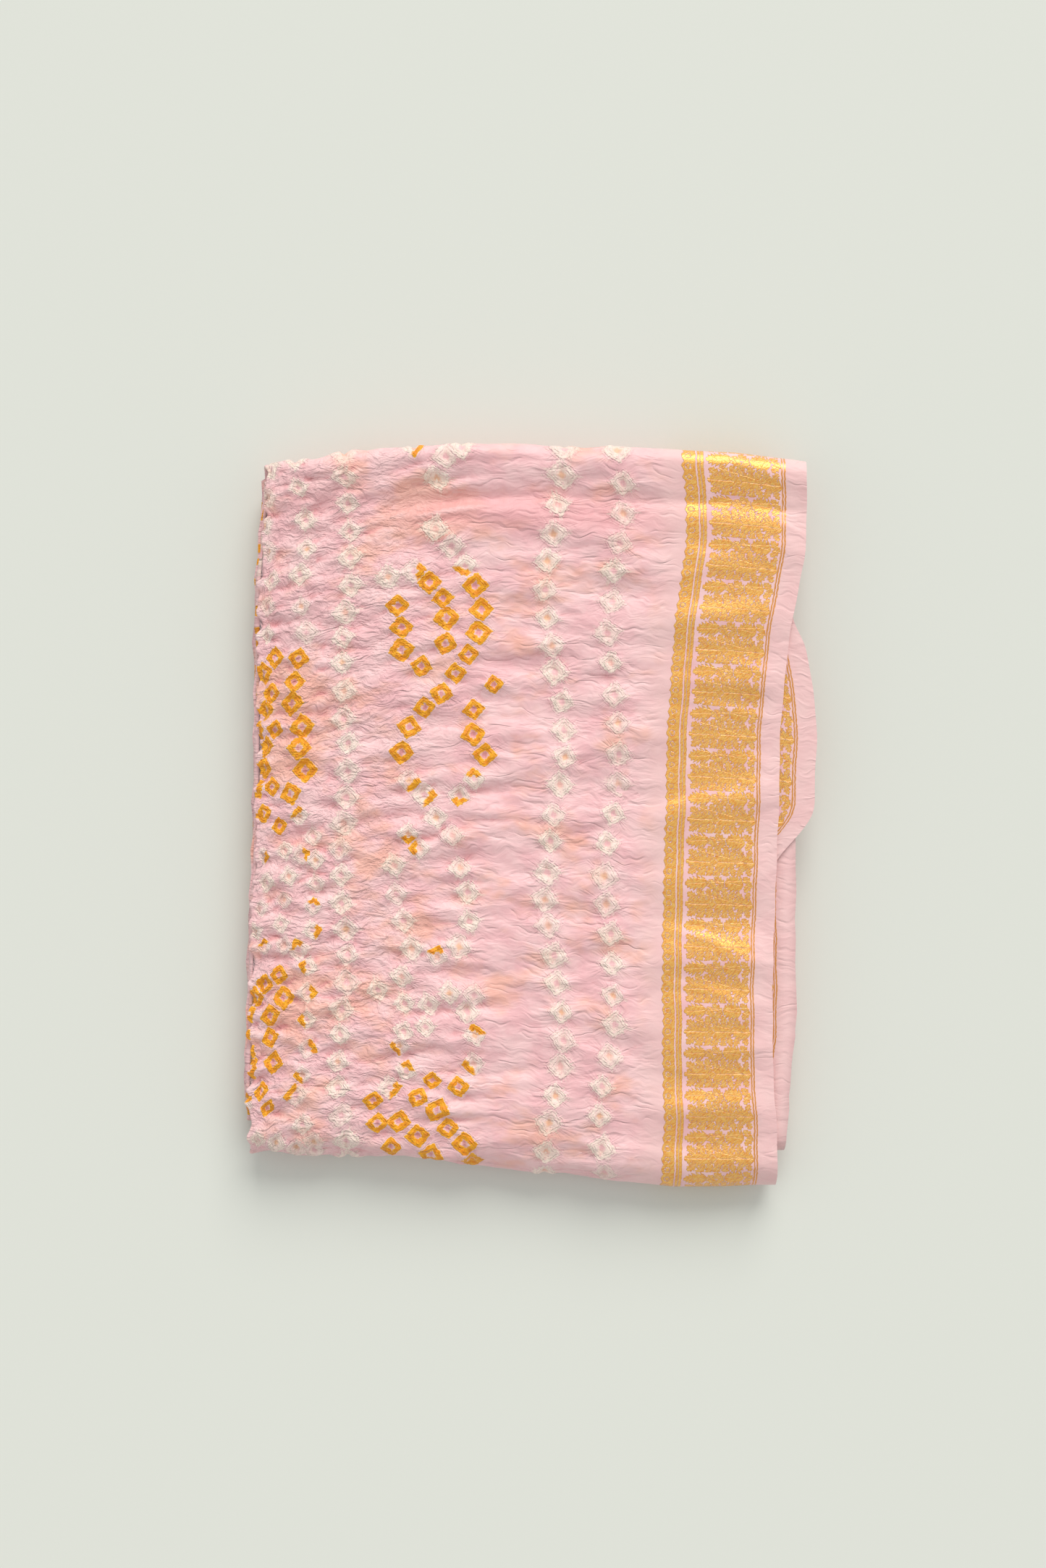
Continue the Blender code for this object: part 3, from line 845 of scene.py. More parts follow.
    def wrinkles(self) -> np.ndarray:
        """Wrinkles of the whole leaf: fine at the left, broad towards the smooth border.

        Returns:
            The raster of their heights, with the groove at the back.
        """
        fine = self.share_in(self.fine_zone)
        broad = self.share_in(self.broad_zone)
        border = self.share_in(self.border_zone)
        medium = (1.0 - fine) * (1.0 - broad)
        hills = fine * (self.soft(self.fine_soft) + self.full(self.fine_full))
        hills = hills + medium * (self.soft(self.medium_soft) + self.full(self.medium_full))
        hills = hills + broad * (self.soft(self.broad_soft) + self.full(self.broad_full))
        hills = self.wrinkle_gain * self.leaned(hills) - self.wrinkle_drop
        hills = hills + self.soft(self.rolling) + self.soft(self.small)
        border_hills = self.soft(self.border_soft) + self.sharp(self.border_sharp)
        return (1.0 - border) * hills + border * border_hills + self.back_groove()

    def back_groove(self) -> np.ndarray:
        """The crease along the foot of the roll at the back.

        Returns:
            The raster of its depth, below 0.
        """
        x = self.columns_x
        along = (self.low_along + np.arange(self.size[0]) * self.step)[:, None]
        course = np.array([read_curve(self.groove_course, place) for place in x])
        for reach, length in (self.groove_sway, self.groove_waver):
            course = course + reach * np.sin(x / length)
        away = along - course[None, :]
        wide = np.where(away > 0.0, self.groove_back, self.groove_front)
        fade = np.clip((x - self.groove_start) / self.groove_fade, 0.0, 1.0)[None, :]
        return -self.groove_depth * fade * np.exp(-((away / wide) ** 2))

    def smoothed(self, heights: np.ndarray, reach: float) -> np.ndarray:
        """Running mean of the heights over a square window.

        Args:
            heights: The raster.
            reach: Half the window's side.

        Returns:
            The smoothed raster.
        """
        steps = round(reach / self.step)
        window = np.ones(2 * steps + 1) / (2 * steps + 1)
        soft = np.apply_along_axis(np.convolve, 0, heights, window, mode="same")
        return np.apply_along_axis(np.convolve, 1, soft, window, mode="same")

    def crests(self, heights: np.ndarray) -> np.ndarray:
        """How far each place stands over its surroundings, in millimetres."""
        return (heights - self.smoothed(heights, self.crest_reach)) / MM

    def puckers(self, squares: list[TiedSquare]) -> np.ndarray:
        """Pits, rims and pleats of the tied squares.

        Args:
            squares: The squares, with y as their place along the cloth.

        Returns:
            The raster of their heights.
        """
        rows, columns = self.size
        total = np.zeros((rows, columns))
        chance = Random(self.seed)
        span = round((self.pleat_reach * self.longest_reach) / self.step)
        for square in squares:
            column = round((square.x - self.low_x) / self.step)
            row = round((square.y - self.low_along) / self.step)
            top, bottom = max(row - span, 0), min(row + span, rows)
            left, right = max(column - span, 0), min(column + span, columns)
            if top >= bottom or left >= right:
                continue
            x = self.low_x + np.arange(left, right) * self.step - square.x
            along = self.low_along + np.arange(top, bottom) * self.step - square.y
            x, along = np.meshgrid(x, along)
            total[top:bottom, left:right] += self.pucker(x, along, square, chance)
        return total

    def pucker(
        self, x: np.ndarray, along: np.ndarray, square: TiedSquare, chance: Random
    ) -> np.ndarray:
        """Pit, rim and pleats of one tied square.

        Args:
            x: Places across the cloth, from the square's middle.
            along: Places along it, from the square's middle.
            square: The square.
            chance: Source of its unevenness.

        Returns:
            The heights at those places.
        """
        turned_x = x * cos(square.tilt) + along * sin(square.tilt)
        turned_y = along * cos(square.tilt) - x * sin(square.tilt)
        away = (np.abs(turned_x) + np.abs(turned_y)) / square.half
        pit = np.exp(-((away / self.pit_reach) ** 2))
        height = -self.pit_depth * chance.uniform(*self.uneven_rim) * pit
        rim = np.exp(-(((away - self.rim_place) / self.rim_width) ** 2))
        height = height + self.rim_height * chance.uniform(*self.uneven_rim) * rim
        for pleat in range(self.pleats):
            drift = chance.uniform(-self.pleat_drift, self.pleat_drift)
            turn = 2.0 * pi * (pleat + drift) / self.pleats
            heading = atan2(self.pleat_squash * sin(turn), cos(turn))
            sideways = abs(cos(heading))
            reach = self.pleat_reach * (self.least_reach + self.reach_sideways * sideways ** 2)
            reach *= chance.uniform(*self.uneven_reach)
            bend = chance.uniform(-self.pleat_bend, self.pleat_bend) / MM
            forward = x * cos(heading) + along * sin(heading)
            aside = along * cos(heading) - x * sin(heading) - bend * forward ** 2
            width = self.pleat_width + self.pleat_widening * np.maximum(forward, 0.0)
            fade = np.clip(forward / self.pleat_start, 0.0, 1.0)
            fade = fade * np.clip(1.0 - forward / reach, 0.0, 1.0)
            crest = self.pleat_height * chance.uniform(*self.uneven_height)
            height = height + crest * np.sqrt(fade) * fade * np.exp(-((aside / width) ** 2))
        return height

    def raster(self, squares: list[TiedSquare]) -> np.ndarray:
        """The whole relief.

        Args:
            squares: Tied squares in (x, along).

        Returns:
            Heights, in metres, by row along the cloth and column across it.
        """
        heights = self.wrinkles() + self.puckers(squares)
        return self.highest * np.tanh(heights / self.highest)


@dataclass
class FoldedCloth:
    """The cloth laid on the folds of its solid, with its relief and the places of its ties."""

    stack: FoldedStack
    chart: BandhaniChart
    relief: CrinkledRelief
    sheet_thickness: float = 0.45 * MM
    gathered_length: float = 9.0 * MM
    gathered_reach: float = 11.0 * MM
    repeat: float = 386.0 * MM
    tiles: range = range(-5, 7)
    raster_margin: float = 20 * MM
    border_spread: Curve = (
        (-181 * MM, 1.03), (-165 * MM, 1.02), (-137 * MM, 0.985), (-90 * MM, 0.975),
        (-40 * MM, 0.99), (20 * MM, 1.0), (60 * MM, 1.0), (87 * MM, 1.015), (115 * MM, 1.04),
        (143 * MM, 1.06), (157 * MM, 1.075), (172 * MM, 1.1),
    )
    side_fold_fade: float = 6 * MM
    side_fold_push: float = 1.3
    side_fold_rest: float = 0.4 * MM
    side_fold_calm: float = 0.6
    edge_waves: tuple[tuple[float, float], ...] = ((9.5 * MM, 1.0), (4.1 * MM, 2.0))  # length, turns
    edge_wave_turn: float = 0.9
    edge_wave_turn_of_back: float = 2.0
    edge_wave_on_top: float = 0.35 * MM
    edge_wave_below: float = 0.6 * MM
    calm_at_edge: float = 0.4
    calm_reach: float = 9 * MM
    calm_of_hidden: float = 0.35
    hidden_wave: float = 0.9 * MM
    hidden_rise: float = 0.3 * MM
    hidden_lengths: tuple[float, float] = (5.3 * MM, 8.9 * MM)
    hidden_turn: float = 1.7
    hidden_gain_at_side: float = 2.0
    hidden_side_reach: float = 14 * MM
    sag_depth: float = 0.35 * MM
    sag_lengths: tuple[float, float, float] = (31 * MM, 44 * MM, 13 * MM)
    sag_turn: float = 0.6

    def __post_init__(self) -> None:
        """Work out what every piece of the cloth shares."""
        self.squares = self.tiled_squares()
        near = [square for square in self.squares if self.near_top_leaf(square)]
        self.heights = self.relief.raster(near)
        self.crests = self.relief.crests(self.heights)
        self.centres, self.tree = self.tie_tree()

    def near_top_leaf(self, square: TiedSquare) -> bool:
        """Whether a square falls in the raster of the relief."""
        margin = self.raster_margin
        return self.relief.low_along - margin < square.y < self.relief.high_along + margin

    def tiled_squares(self) -> list[TiedSquare]:
        """The chart's squares, repeated along the whole cloth.

        Returns:
            The squares, with y as the place along the cloth.
        """
        found = []
        for tile in self.tiles:
            for square in self.chart.squares():
                along = self.stack.plan_to_along(square.x, square.y) + tile * self.repeat
                found.append(replace(square, y=along))
        return found

    def across(self, x: float, left: float, right: float, y: float) -> float:
        """Place across the flat cloth, from the woven edge.

        Near the left fold, where the puckers gather the cloth most, it rises faster than x falls.

        Args:
            x: Place across the stack.
            left: The ply's left fold there.
            right: The ply's right edge there.
            y: Place along the stack.

        Returns:
            The distance from the woven edge in the flat cloth.
        """
        gathered = self.gathered_length * exp(-max(x - left, 0.0) / self.gathered_reach)
        return (right - x) / read_curve(self.border_spread, y) + gathered

    def tie_tree(self) -> tuple[list[tuple[float, float, TiedSquare]], KDTree]:
        """Carry the tied squares to the flat cloth's own coordinates.

        Returns:
            Each square with its place across and along the cloth, and a tree to search them.
        """
        stack = self.stack
        centres = []
        tree = KDTree(len(self.squares))
        for index, square in enumerate(self.squares):
            y = square.y - self.repeat * round(square.y / self.repeat)
            left = read_curve(stack.left_edge, y)
            right = read_curve(stack.right_edge, y)
            across = self.across(square.x, left, right, y)
            centres.append((across, square.y, square))
            tree.insert((across, square.y, 0.0), index)
        tree.balance()
        return centres, tree

    def relief_at(self, heights: np.ndarray, x: float, along: float) -> float:
        """Read one of the relief's rasters between its points.

        Args:
            heights: The raster.
            x: Place across the stack.
            along: Place along the cloth.

        Returns:
            The value there.
        """
        relief = self.relief
        rows, columns = relief.size
        inside = 1.001
        u = min(max((x - relief.low_x) / relief.step, 0.0), columns - inside)
        v = min(max((along - relief.low_along) / relief.step, 0.0), rows - inside)
        i, j = int(u), int(v)
        a, b = u - i, v - j
        near = heights[j, i] * (1.0 - a) + heights[j, i + 1] * a
        far = heights[j + 1, i] * (1.0 - a) + heights[j + 1, i + 1] * a
        return float(near * (1.0 - b) + far * b)

    def lay(
        self, column: Column, row: Row, ridges: "RidgeSet"
    ) -> tuple[Place, tuple[float, float], float]:
        """Carry one point of the unfolded cloth to its place in the stack.

        Args:
            column: The point's column.
            row: The point's row.
            ridges: The main ridges of the top ply.

        Returns:
            Its place, its flat coordinates across and along the cloth, and how far it stands
            over its surroundings.
        """
        stack = self.stack
        left = read_curve(stack.left_edge, row.y) + stack.side_inset(row.z)
        left += stack.ply_thickness / 2.0
        right = read_curve(stack.right_edge, row.y)
        right += stack.right_edge_out(row.level, column.on_back_ply, row.y)
        right += self.edge_wave(row, column)
        fold_x = left + stack.fold_reach
        ply_x = fold_x + (right - fold_x) * column.share
        front = read_curve(stack.front_edge, ply_x)
        back = read_curve(stack.back_edge, ply_x)
        place_along = (row.y + column.offset * row.normal_y - stack.front_line) / stack.length
        y = front + (back - front) * place_along
        lift = stack.loft(ply_x, y, left, right, front, back)
        crinkle = 0.0
        crest = 0.0
        if column.on_back_ply:
            lift *= stack.back_ply_loft_share
        elif column.bulge == 0.0:
            lift += ridges.height(ply_x, y)
        x = ply_x + column.bulge
        if not column.on_back_ply:
            crinkle = self.crinkle(ply_x, left, right, row)
            if row.lofted > 0.0:
                crest = self.relief_at(self.crests, ply_x, row.along)
        at_fold = 1.0 - ease((ply_x - fold_x) / self.side_fold_fade)
        x -= at_fold * self.side_fold_push * (crinkle - self.side_fold_rest) * abs(row.normal_z)
        y += crinkle * row.normal_y
        z = stack.bottom_height + row.z + column.offset * row.normal_z + lift * row.lofted
        z += crinkle * row.normal_z * row.lofted * (1.0 - self.side_fold_calm * at_fold)
        z += self.sag(ply_x, y, row)
        z = max(z, self.sheet_thickness / 2.0)
        flat_y = min(max(row.y, stack.front_line), stack.back_line)
        across = self.across(ply_x, left, right, flat_y)
        return (x - stack.centring, y, z), (across, row.along), crest

    def edge_wave(self, row: Row, column: Column) -> float:
        """How the woven edge of a ply waves in and out.

        Args:
            row: The point's row.
            column: The point's column.

        Returns:
            How far the edge stands out there.
        """
        turn = self.edge_wave_turn * row.level
        turn += self.edge_wave_turn_of_back if column.on_back_ply else 0.0
        wave = sum(0.5 * sin(row.y / length + turns * turn) for length, turns in self.edge_waves)
        on_top = row.level == self.stack.top_level
        return (self.edge_wave_on_top if on_top else self.edge_wave_below) * wave

    def crinkle(self, x: float, left: float, right: float, row: Row) -> float:
        """Relief of the face ply at one point, calmer at its right edge and on hidden leaves.

        Args:
            x: Place across the stack.
            left: The ply's left fold there.
            right: The ply's right edge there.
            row: The point's row.

        Returns:
            The height there.
        """
        calm = self.calm_at_edge + (1.0 - self.calm_at_edge) * ease((right - x) / self.calm_reach)
        if row.lofted > 0.0:
            return calm * self.relief_at(self.heights, x, row.along)
        first, second = self.hidden_lengths
        wave = sin(row.along / first) * cos(row.along / second + self.hidden_turn * row.level)
        beside = ease(1.0 - (x - left) / self.hidden_side_reach)
        gain = self.calm_of_hidden * calm * (1.0 + self.hidden_gain_at_side * beside)
        return gain * (self.hidden_wave * wave + self.hidden_rise)

    def sag(self, x: float, y: float, row: Row) -> float:
        """Slow unevenness that the inner plies share, so that they never cross.

        Args:
            x: Place across the stack.
            y: Place along the stack.
            row: The point's row.

        Returns:
            The height there.
        """
        stack = self.stack
        if row.level == stack.top_level or row.lofted > 0.0:
            return 0.0
        share = row.z / stack.pressed_height
        long, wide, short = self.sag_lengths
        wave = sin(y / long + self.sag_turn) * cos(x / wide) + 0.5 * sin(y / short)
        return self.sag_depth * wave * share * (1.0 - share) * 4.0

    def piece(
        self, name: str, columns: list[Column], rows: list[Row], solid: bool
    ) -> bpy.types.Object:
        """Build one stretch of the cloth as a thin sheet.

        Args:
            name: The piece's name.
            columns: Columns across the doubled cloth.
            rows: Rows of this stretch.
            solid: Whether the sheet has two sides and a rim.

        Returns:
            The finished piece, without a material.
        """
        ridges = RidgeSet()
        bm = bmesh.new()
        wide, long = len(columns) - 1, len(rows) - 1
        bmesh.ops.create_grid(bm, x_segments=wide, y_segments=long, size=0.5)
        flat_layer = bm.loops.layers.uv.new("flat_cloth")
        flat: dict[int, tuple[float, float]] = {}
        crests: list[float] = []
        bm.verts.index_update()
        for vert in bm.verts:
            column = columns[round((vert.co.x + 0.5) * wide)]
            row = rows[round((vert.co.y + 0.5) * long)]
            vert.co, flat[vert.index], crest = self.lay(column, row, ridges)
            crests.append(crest)
        for face in bm.faces:
            for loop in face.loops:
                loop[flat_layer].uv = flat[loop.vert.index]
        ties = [self.nearest_tie([flat[v.index] for v in face.verts]) for face in bm.faces]
        mesh = bpy.data.meshes.new(name)
        bm.to_mesh(mesh)
        bm.free()
        mesh.shade_smooth()
        self.write_ties(mesh, ties)
        # How far each point stands over its surroundings; the material paints shade in the troughs
        # and highlight on the crests from it.
        mesh.attributes.new("crest", "FLOAT", "POINT").data.foreach_set("value", crests)
        sheet = bpy.data.objects.new(name, mesh)
        bpy.context.scene.collection.objects.link(sheet)
        if solid:
            thickness = sheet.modifiers.new("sheet_thickness", "SOLIDIFY")
            thickness.thickness = self.sheet_thickness
            thickness.offset = 0.0
        return sheet

    def nearest_tie(self, corners: list[tuple[float, float]]) -> tuple[float, float, TiedSquare]:
        """Find the tied square that lies nearest to a face of the sheet.

        Args:
            corners: The face's corners, across and along the cloth.

        Returns:
            The square, after its place across and along.
        """
        across = sum(corner[0] for corner in corners) / len(corners)
        along = sum(corner[1] for corner in corners) / len(corners)
        _, index, _ = self.tree.find((across, along, 0.0))
        return self.centres[index]

    def write_ties(self, mesh: bpy.types.Mesh, ties: list[tuple[float, float, TiedSquare]]) -> None:
        """Store each face's nearest tied square for the material.

        Args:
            mesh: The sheet's mesh.
            ties: For each face, the square and its place across and along the cloth.
        """
        place = mesh.attributes.new("tie_place", "FLOAT_VECTOR", "FACE")
        form = mesh.attributes.new("tie_form", "FLOAT_VECTOR", "FACE")
        places: list[float] = []
        forms: list[float] = []
        for across, along, square in ties:
            places.extend((across / MM, along / MM, square.tie.value))
            forms.extend((square.half / MM, square.tilt, square.turn))
        place.data.foreach_set("vector", places)
        form.data.foreach_set("vector", forms)


@dataclass(frozen=True)
class RidgeSet:
    """The main ridges across the top ply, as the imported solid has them."""

    ridges: tuple[tuple[float, ...], ...] = (  # x from, x to, y at from, y at to, height, spread
        (40 * MM, 135 * MM, 125 * MM, 126 * MM, 1.1 * MM, 7 * MM),
        (-10 * MM, 60 * MM, 112 * MM, 118 * MM, 0.9 * MM, 6 * MM),
        (45 * MM, 128 * MM, 94 * MM, 95 * MM, 1.2 * MM, 7 * MM),
        (-60 * MM, 10 * MM, 86 * MM, 82 * MM, 1.0 * MM, 7 * MM),
        (40 * MM, 122 * MM, 65 * MM, 64 * MM, 1.2 * MM, 8 * MM),
        (-125 * MM, -70 * MM, 72 * MM, 66 * MM, 0.9 * MM, 6 * MM),
        (-30 * MM, 45 * MM, 44 * MM, 40 * MM, 0.8 * MM, 6 * MM),
        (-130 * MM, -80 * MM, 33 * MM, 30 * MM, 1.0 * MM, 7 * MM),
        (50 * MM, 122 * MM, -4 * MM, 13 * MM, 1.5 * MM, 7 * MM),
        (-70 * MM, 20 * MM, -8 * MM, -4 * MM, 1.0 * MM, 7 * MM),
        (-130 * MM, -75 * MM, -28 * MM, -34 * MM, 0.9 * MM, 6 * MM),
        (-20 * MM, 60 * MM, -38 * MM, -36 * MM, 0.8 * MM, 7 * MM),
        (35 * MM, 120 * MM, -70 * MM, -72 * MM, 1.2 * MM, 8 * MM),
        (-80 * MM, 0 * MM, -64 * MM, -70 * MM, 1.1 * MM, 7 * MM),
        (-130 * MM, -80 * MM, -92 * MM, -88 * MM, 0.9 * MM, 6 * MM),
        (30 * MM, 118 * MM, -114 * MM, -112 * MM, 1.0 * MM, 8 * MM),
        (-60 * MM, 30 * MM, -108 * MM, -112 * MM, 0.9 * MM, 7 * MM),
        (-110 * MM, -30 * MM, -134 * MM, -138 * MM, 0.9 * MM, 7 * MM),
        (30 * MM, 118 * MM, -140 * MM, -142 * MM, 1.0 * MM, 7 * MM),
    )
    end_fade: float = 16 * MM
    widest: float = 3.0  # in spreads, beyond which a ridge is left out

    def height(self, x: float, y: float) -> float:
        """Sum of the ridges at one place.

        Args:
            x: Place across the stack.
            y: Place along the stack.

        Returns:
            The height.
        """
        total = 0.0
        for x_from, x_to, y_from, y_to, height, spread in self.ridges:
            along = (x - x_from) / (x_to - x_from)
            crest = y_from + (y_to - y_from) * along
            away = (y - crest) / spread
            if abs(away) > self.widest:
                continue
            fade = ease((x - x_from) / self.end_fade + 0.5)
            fade *= ease((x_to - x) / self.end_fade + 0.5)
            total += height * fade * exp(-away * away)
        return total


Socket = bpy.types.NodeSocket
Value = Socket | float | tuple[float, ...]


Pair = tuple[float, float]  # the start and end of a step, or a gain and an offset


@dataclass(frozen=True)
class Grain:
    """A noise: its fineness across and along, how many finer layers it adds, their strength."""

    across: float
    along: float
    detail: float
    rough: float


@dataclass(frozen=True)
class Drift:
    """A slow noise that pushes a place aside, and how far."""

    fineness: float
    detail: float
    rough: float
    reach: float


class Graph:
    """A shader node tree with short calls for the nodes that this cloth needs."""

    def __init__(self, tree: bpy.types.NodeTree) -> None:
        """Keep the tree.

        Args:
            tree: A material's tree or a node group.
        """
        self.tree = tree

    def add(self, kind: str, **settings: object) -> bpy.types.Node:
        """Add a node and set its own properties.

        Args:
            kind: The node's type.
            settings: Its own properties by name.

        Returns:
            The node.
        """
        node = self.tree.nodes.new(kind)
        for name, value in settings.items():
            setattr(node, name, value)
        return node

    def feed(self, socket: Socket, value: Value) -> None:
        """Link a socket, or set it to a plain value.

        Args:
            socket: The input.
            value: What goes in.
        """
        if isinstance(value, bpy.types.NodeSocket):
            self.tree.links.new(value, socket)
        else:
            socket.default_value = value

    def math(self, operation: str, *values: Value, clamp: bool = False) -> Socket:
        """A Math node.

        Args:
            operation: Name of the operation.
            values: What goes in.
            clamp: Whether the result is held between 0 and 1.

        Returns:
            The result.
        """
        node = self.add("ShaderNodeMath", operation=operation, use_clamp=clamp)
        for socket, value in zip(node.inputs, values):
            self.feed(socket, value)
        return node.outputs[0]

    def times(self, first: Value, second: Value) -> Socket:
        """The product of two values."""
        return self.math("MULTIPLY", first, second)

    def plus(self, first: Value, second: Value) -> Socket:
        """The sum of two values."""
        return self.math("ADD", first, second)

    def minus(self, first: Value, second: Value) -> Socket:
        """The first value less the second."""
        return self.math("SUBTRACT", first, second)

    def scaled(self, value: Value, gain: Value, offset: Value) -> Socket:
        """A value times its gain, plus an offset."""
        return self.math("MULTIPLY_ADD", value, gain, offset)

    def vector(self, operation: str, *values: Value) -> Socket:
        """A Vector Math node; its value output where the operation gives a value.

        Args:
            operation: Name of the operation.
            values: What goes in.

        Returns:
            The result.
        """
        node = self.add("ShaderNodeVectorMath", operation=operation)
        if operation == "SCALE":
            self.feed(node.inputs[0], values[0])
            self.feed(node.inputs["Scale"], values[1])
            return node.outputs[0]
        for socket, value in zip(node.inputs, values):
            self.feed(socket, value)
        return node.outputs["Value" if operation in ("LENGTH", "DOT_PRODUCT") else "Vector"]

    def split(self, vector: Value) -> tuple[Socket, Socket, Socket]:
        """The three parts of a vector."""
        node = self.add("ShaderNodeSeparateXYZ")
        self.feed(node.inputs[0], vector)
        return node.outputs[0], node.outputs[1], node.outputs[2]

    def join(self, x: Value, y: Value, z: Value = 0.0) -> Socket:
        """A vector from three parts.

        Args:
            x: First part.
            y: Second part.
            z: Third part.

        Returns:
            The vector.
        """
        node = self.add("ShaderNodeCombineXYZ")
        for socket, value in zip(node.inputs, (x, y, z)):
            self.feed(socket, value)
        return node.outputs[0]

    def noise(self, vector: Value, scale: float, detail: float = 2.0, rough: float = 0.5) -> Socket:
        """Noise from 0 to 1, one value."""
        return self.noise_node(vector, scale, detail, rough).outputs[0]

    def noise_node(self, vector: Value, scale: float, detail: float, rough: float) -> bpy.types.Node:
        """A Noise node.

        Args:
            vector: Place that is looked up.
            scale: Fineness.
            detail: How many finer layers are added.
            rough: Strength of these.

        Returns:
            The node, with a value and a colour as outputs.
        """
        node = self.add("ShaderNodeTexNoise", noise_dimensions="3D")
        self.feed(node.inputs["Vector"], vector)
        self.feed(node.inputs["Scale"], scale)
        self.feed(node.inputs["Detail"], detail)
        self.feed(node.inputs["Roughness"], rough)
        return node

    def grained(self, place: Value, grain: Grain) -> Socket:
        """The value of a noise that is stretched over a place."""
        stretched = self.stretch(place, grain.across, grain.along)
        return self.noise(stretched, 1.0, grain.detail, grain.rough)

    def drifted(self, place: Value, looked_up: Value, drift: Drift) -> Socket:
        """Push a place aside in the plane of the cloth by a slow noise.

        Args:
            place: The place.
            looked_up: Where the noise is read.
            drift: The noise.

        Returns:
            The place after the push.
        """
        push = self.noise_node(looked_up, drift.fineness, drift.detail, drift.rough).outputs[1]
        push = self.vector("SUBTRACT", push, (0.5, 0.5, 0.5))
        return self.vector("ADD", place, self.stretch(push, drift.reach, drift.reach, 0.0))

    def step(self, value: Value, start: Value, end: Value) -> Socket:
        """A smooth step from 0 at start to 1 at end.

        Args:
            value: What is measured.
            start: Where the step begins.
            end: Where it ends.

        Returns:
            The step.
        """
        node = self.add("ShaderNodeMapRange", interpolation_type="SMOOTHSTEP")
        self.feed(node.inputs["Value"], value)
        self.feed(node.inputs["From Min"], start)
        self.feed(node.inputs["From Max"], end)
        return node.outputs[0]

    def band(self, value: Value, low: float, high: float, soft: float) -> Socket:
        """1 between low and high, with soft ends."""
        rise = self.step(value, low - soft, low + soft)
        fall = self.step(value, high + soft, high - soft)
        return self.math("MULTIPLY", rise, fall)

    def blend(self, factor: Value, first: Value, second: Value) -> Socket:
        """Mix two colours.

        Args:
            factor: Share of the second colour.
            first: First colour.
            second: Second colour.

        Returns:
            The mixed colour.
        """
        node = self.add("ShaderNodeMix", data_type="RGBA")
        self.feed(node.inputs[0], factor)
        self.feed(node.inputs[6], first)
        self.feed(node.inputs[7], second)
        return node.outputs[2]

    def stretch(self, vector: Value, x: float, y: float, z: float = 1.0) -> Socket:
        """Scale a vector's parts."""
        return self.vector("MULTIPLY", vector, (x, y, z))

    def turned(self, vector: Value, centre: Value, angle: Value) -> Socket:
        """A place seen from a centre that is turned by an angle.

        Args:
            vector: The place.
            centre: The centre.
            angle: Angle in radians.

        Returns:
            The place from the centre.
        """
        node = self.add("ShaderNodeVectorRotate", rotation_type="Z_AXIS")
        self.feed(node.inputs["Vector"], self.vector("SUBTRACT", vector, centre))
        self.feed(node.inputs["Angle"], angle)
        return node.outputs[0]

    def use(self, group: bpy.types.NodeTree, **values: Value) -> bpy.types.Node:
        """Place a node group and feed its inputs, named with underscores for spaces.

        Args:
            group: The group's tree.
            values: What goes in, by input name.

        Returns:
            The group's node.
        """
        node = self.add("ShaderNodeGroup", node_tree=group)
        for name, value in values.items():
            self.feed(node.inputs[name.replace("_", " ")], value)
        return node


class EffectGroup:
    """Base of the shared effects: a node group with named inputs and outputs."""

    name = ""
    takes: tuple[tuple[str, str], ...] = ()
    gives: tuple[tuple[str, str], ...] = ()

    def build(self) -> bpy.types.NodeTree:
        """Make the group's tree.

        Returns:
            The tree.
        """
        tree = bpy.data.node_groups.new(self.name, "ShaderNodeTree")
        for name, kind in self.takes:
            tree.interface.new_socket(name, in_out="INPUT", socket_type=kind)
        for name, kind in self.gives:
            tree.interface.new_socket(name, in_out="OUTPUT", socket_type=kind)
        graph = Graph(tree)
        ins = graph.add("NodeGroupInput")
        outs = graph.add("NodeGroupOutput")
        for name, socket in self.make(graph, ins).items():
            tree.links.new(socket, outs.inputs[name])
        return tree

    def make(self, graph: Graph, ins: bpy.types.Node) -> dict[str, Socket]:
        """Add the effect's nodes and name its outputs."""
        raise NotImplementedError


VECTOR = "NodeSocketVector"
FLOAT = "NodeSocketFloat"


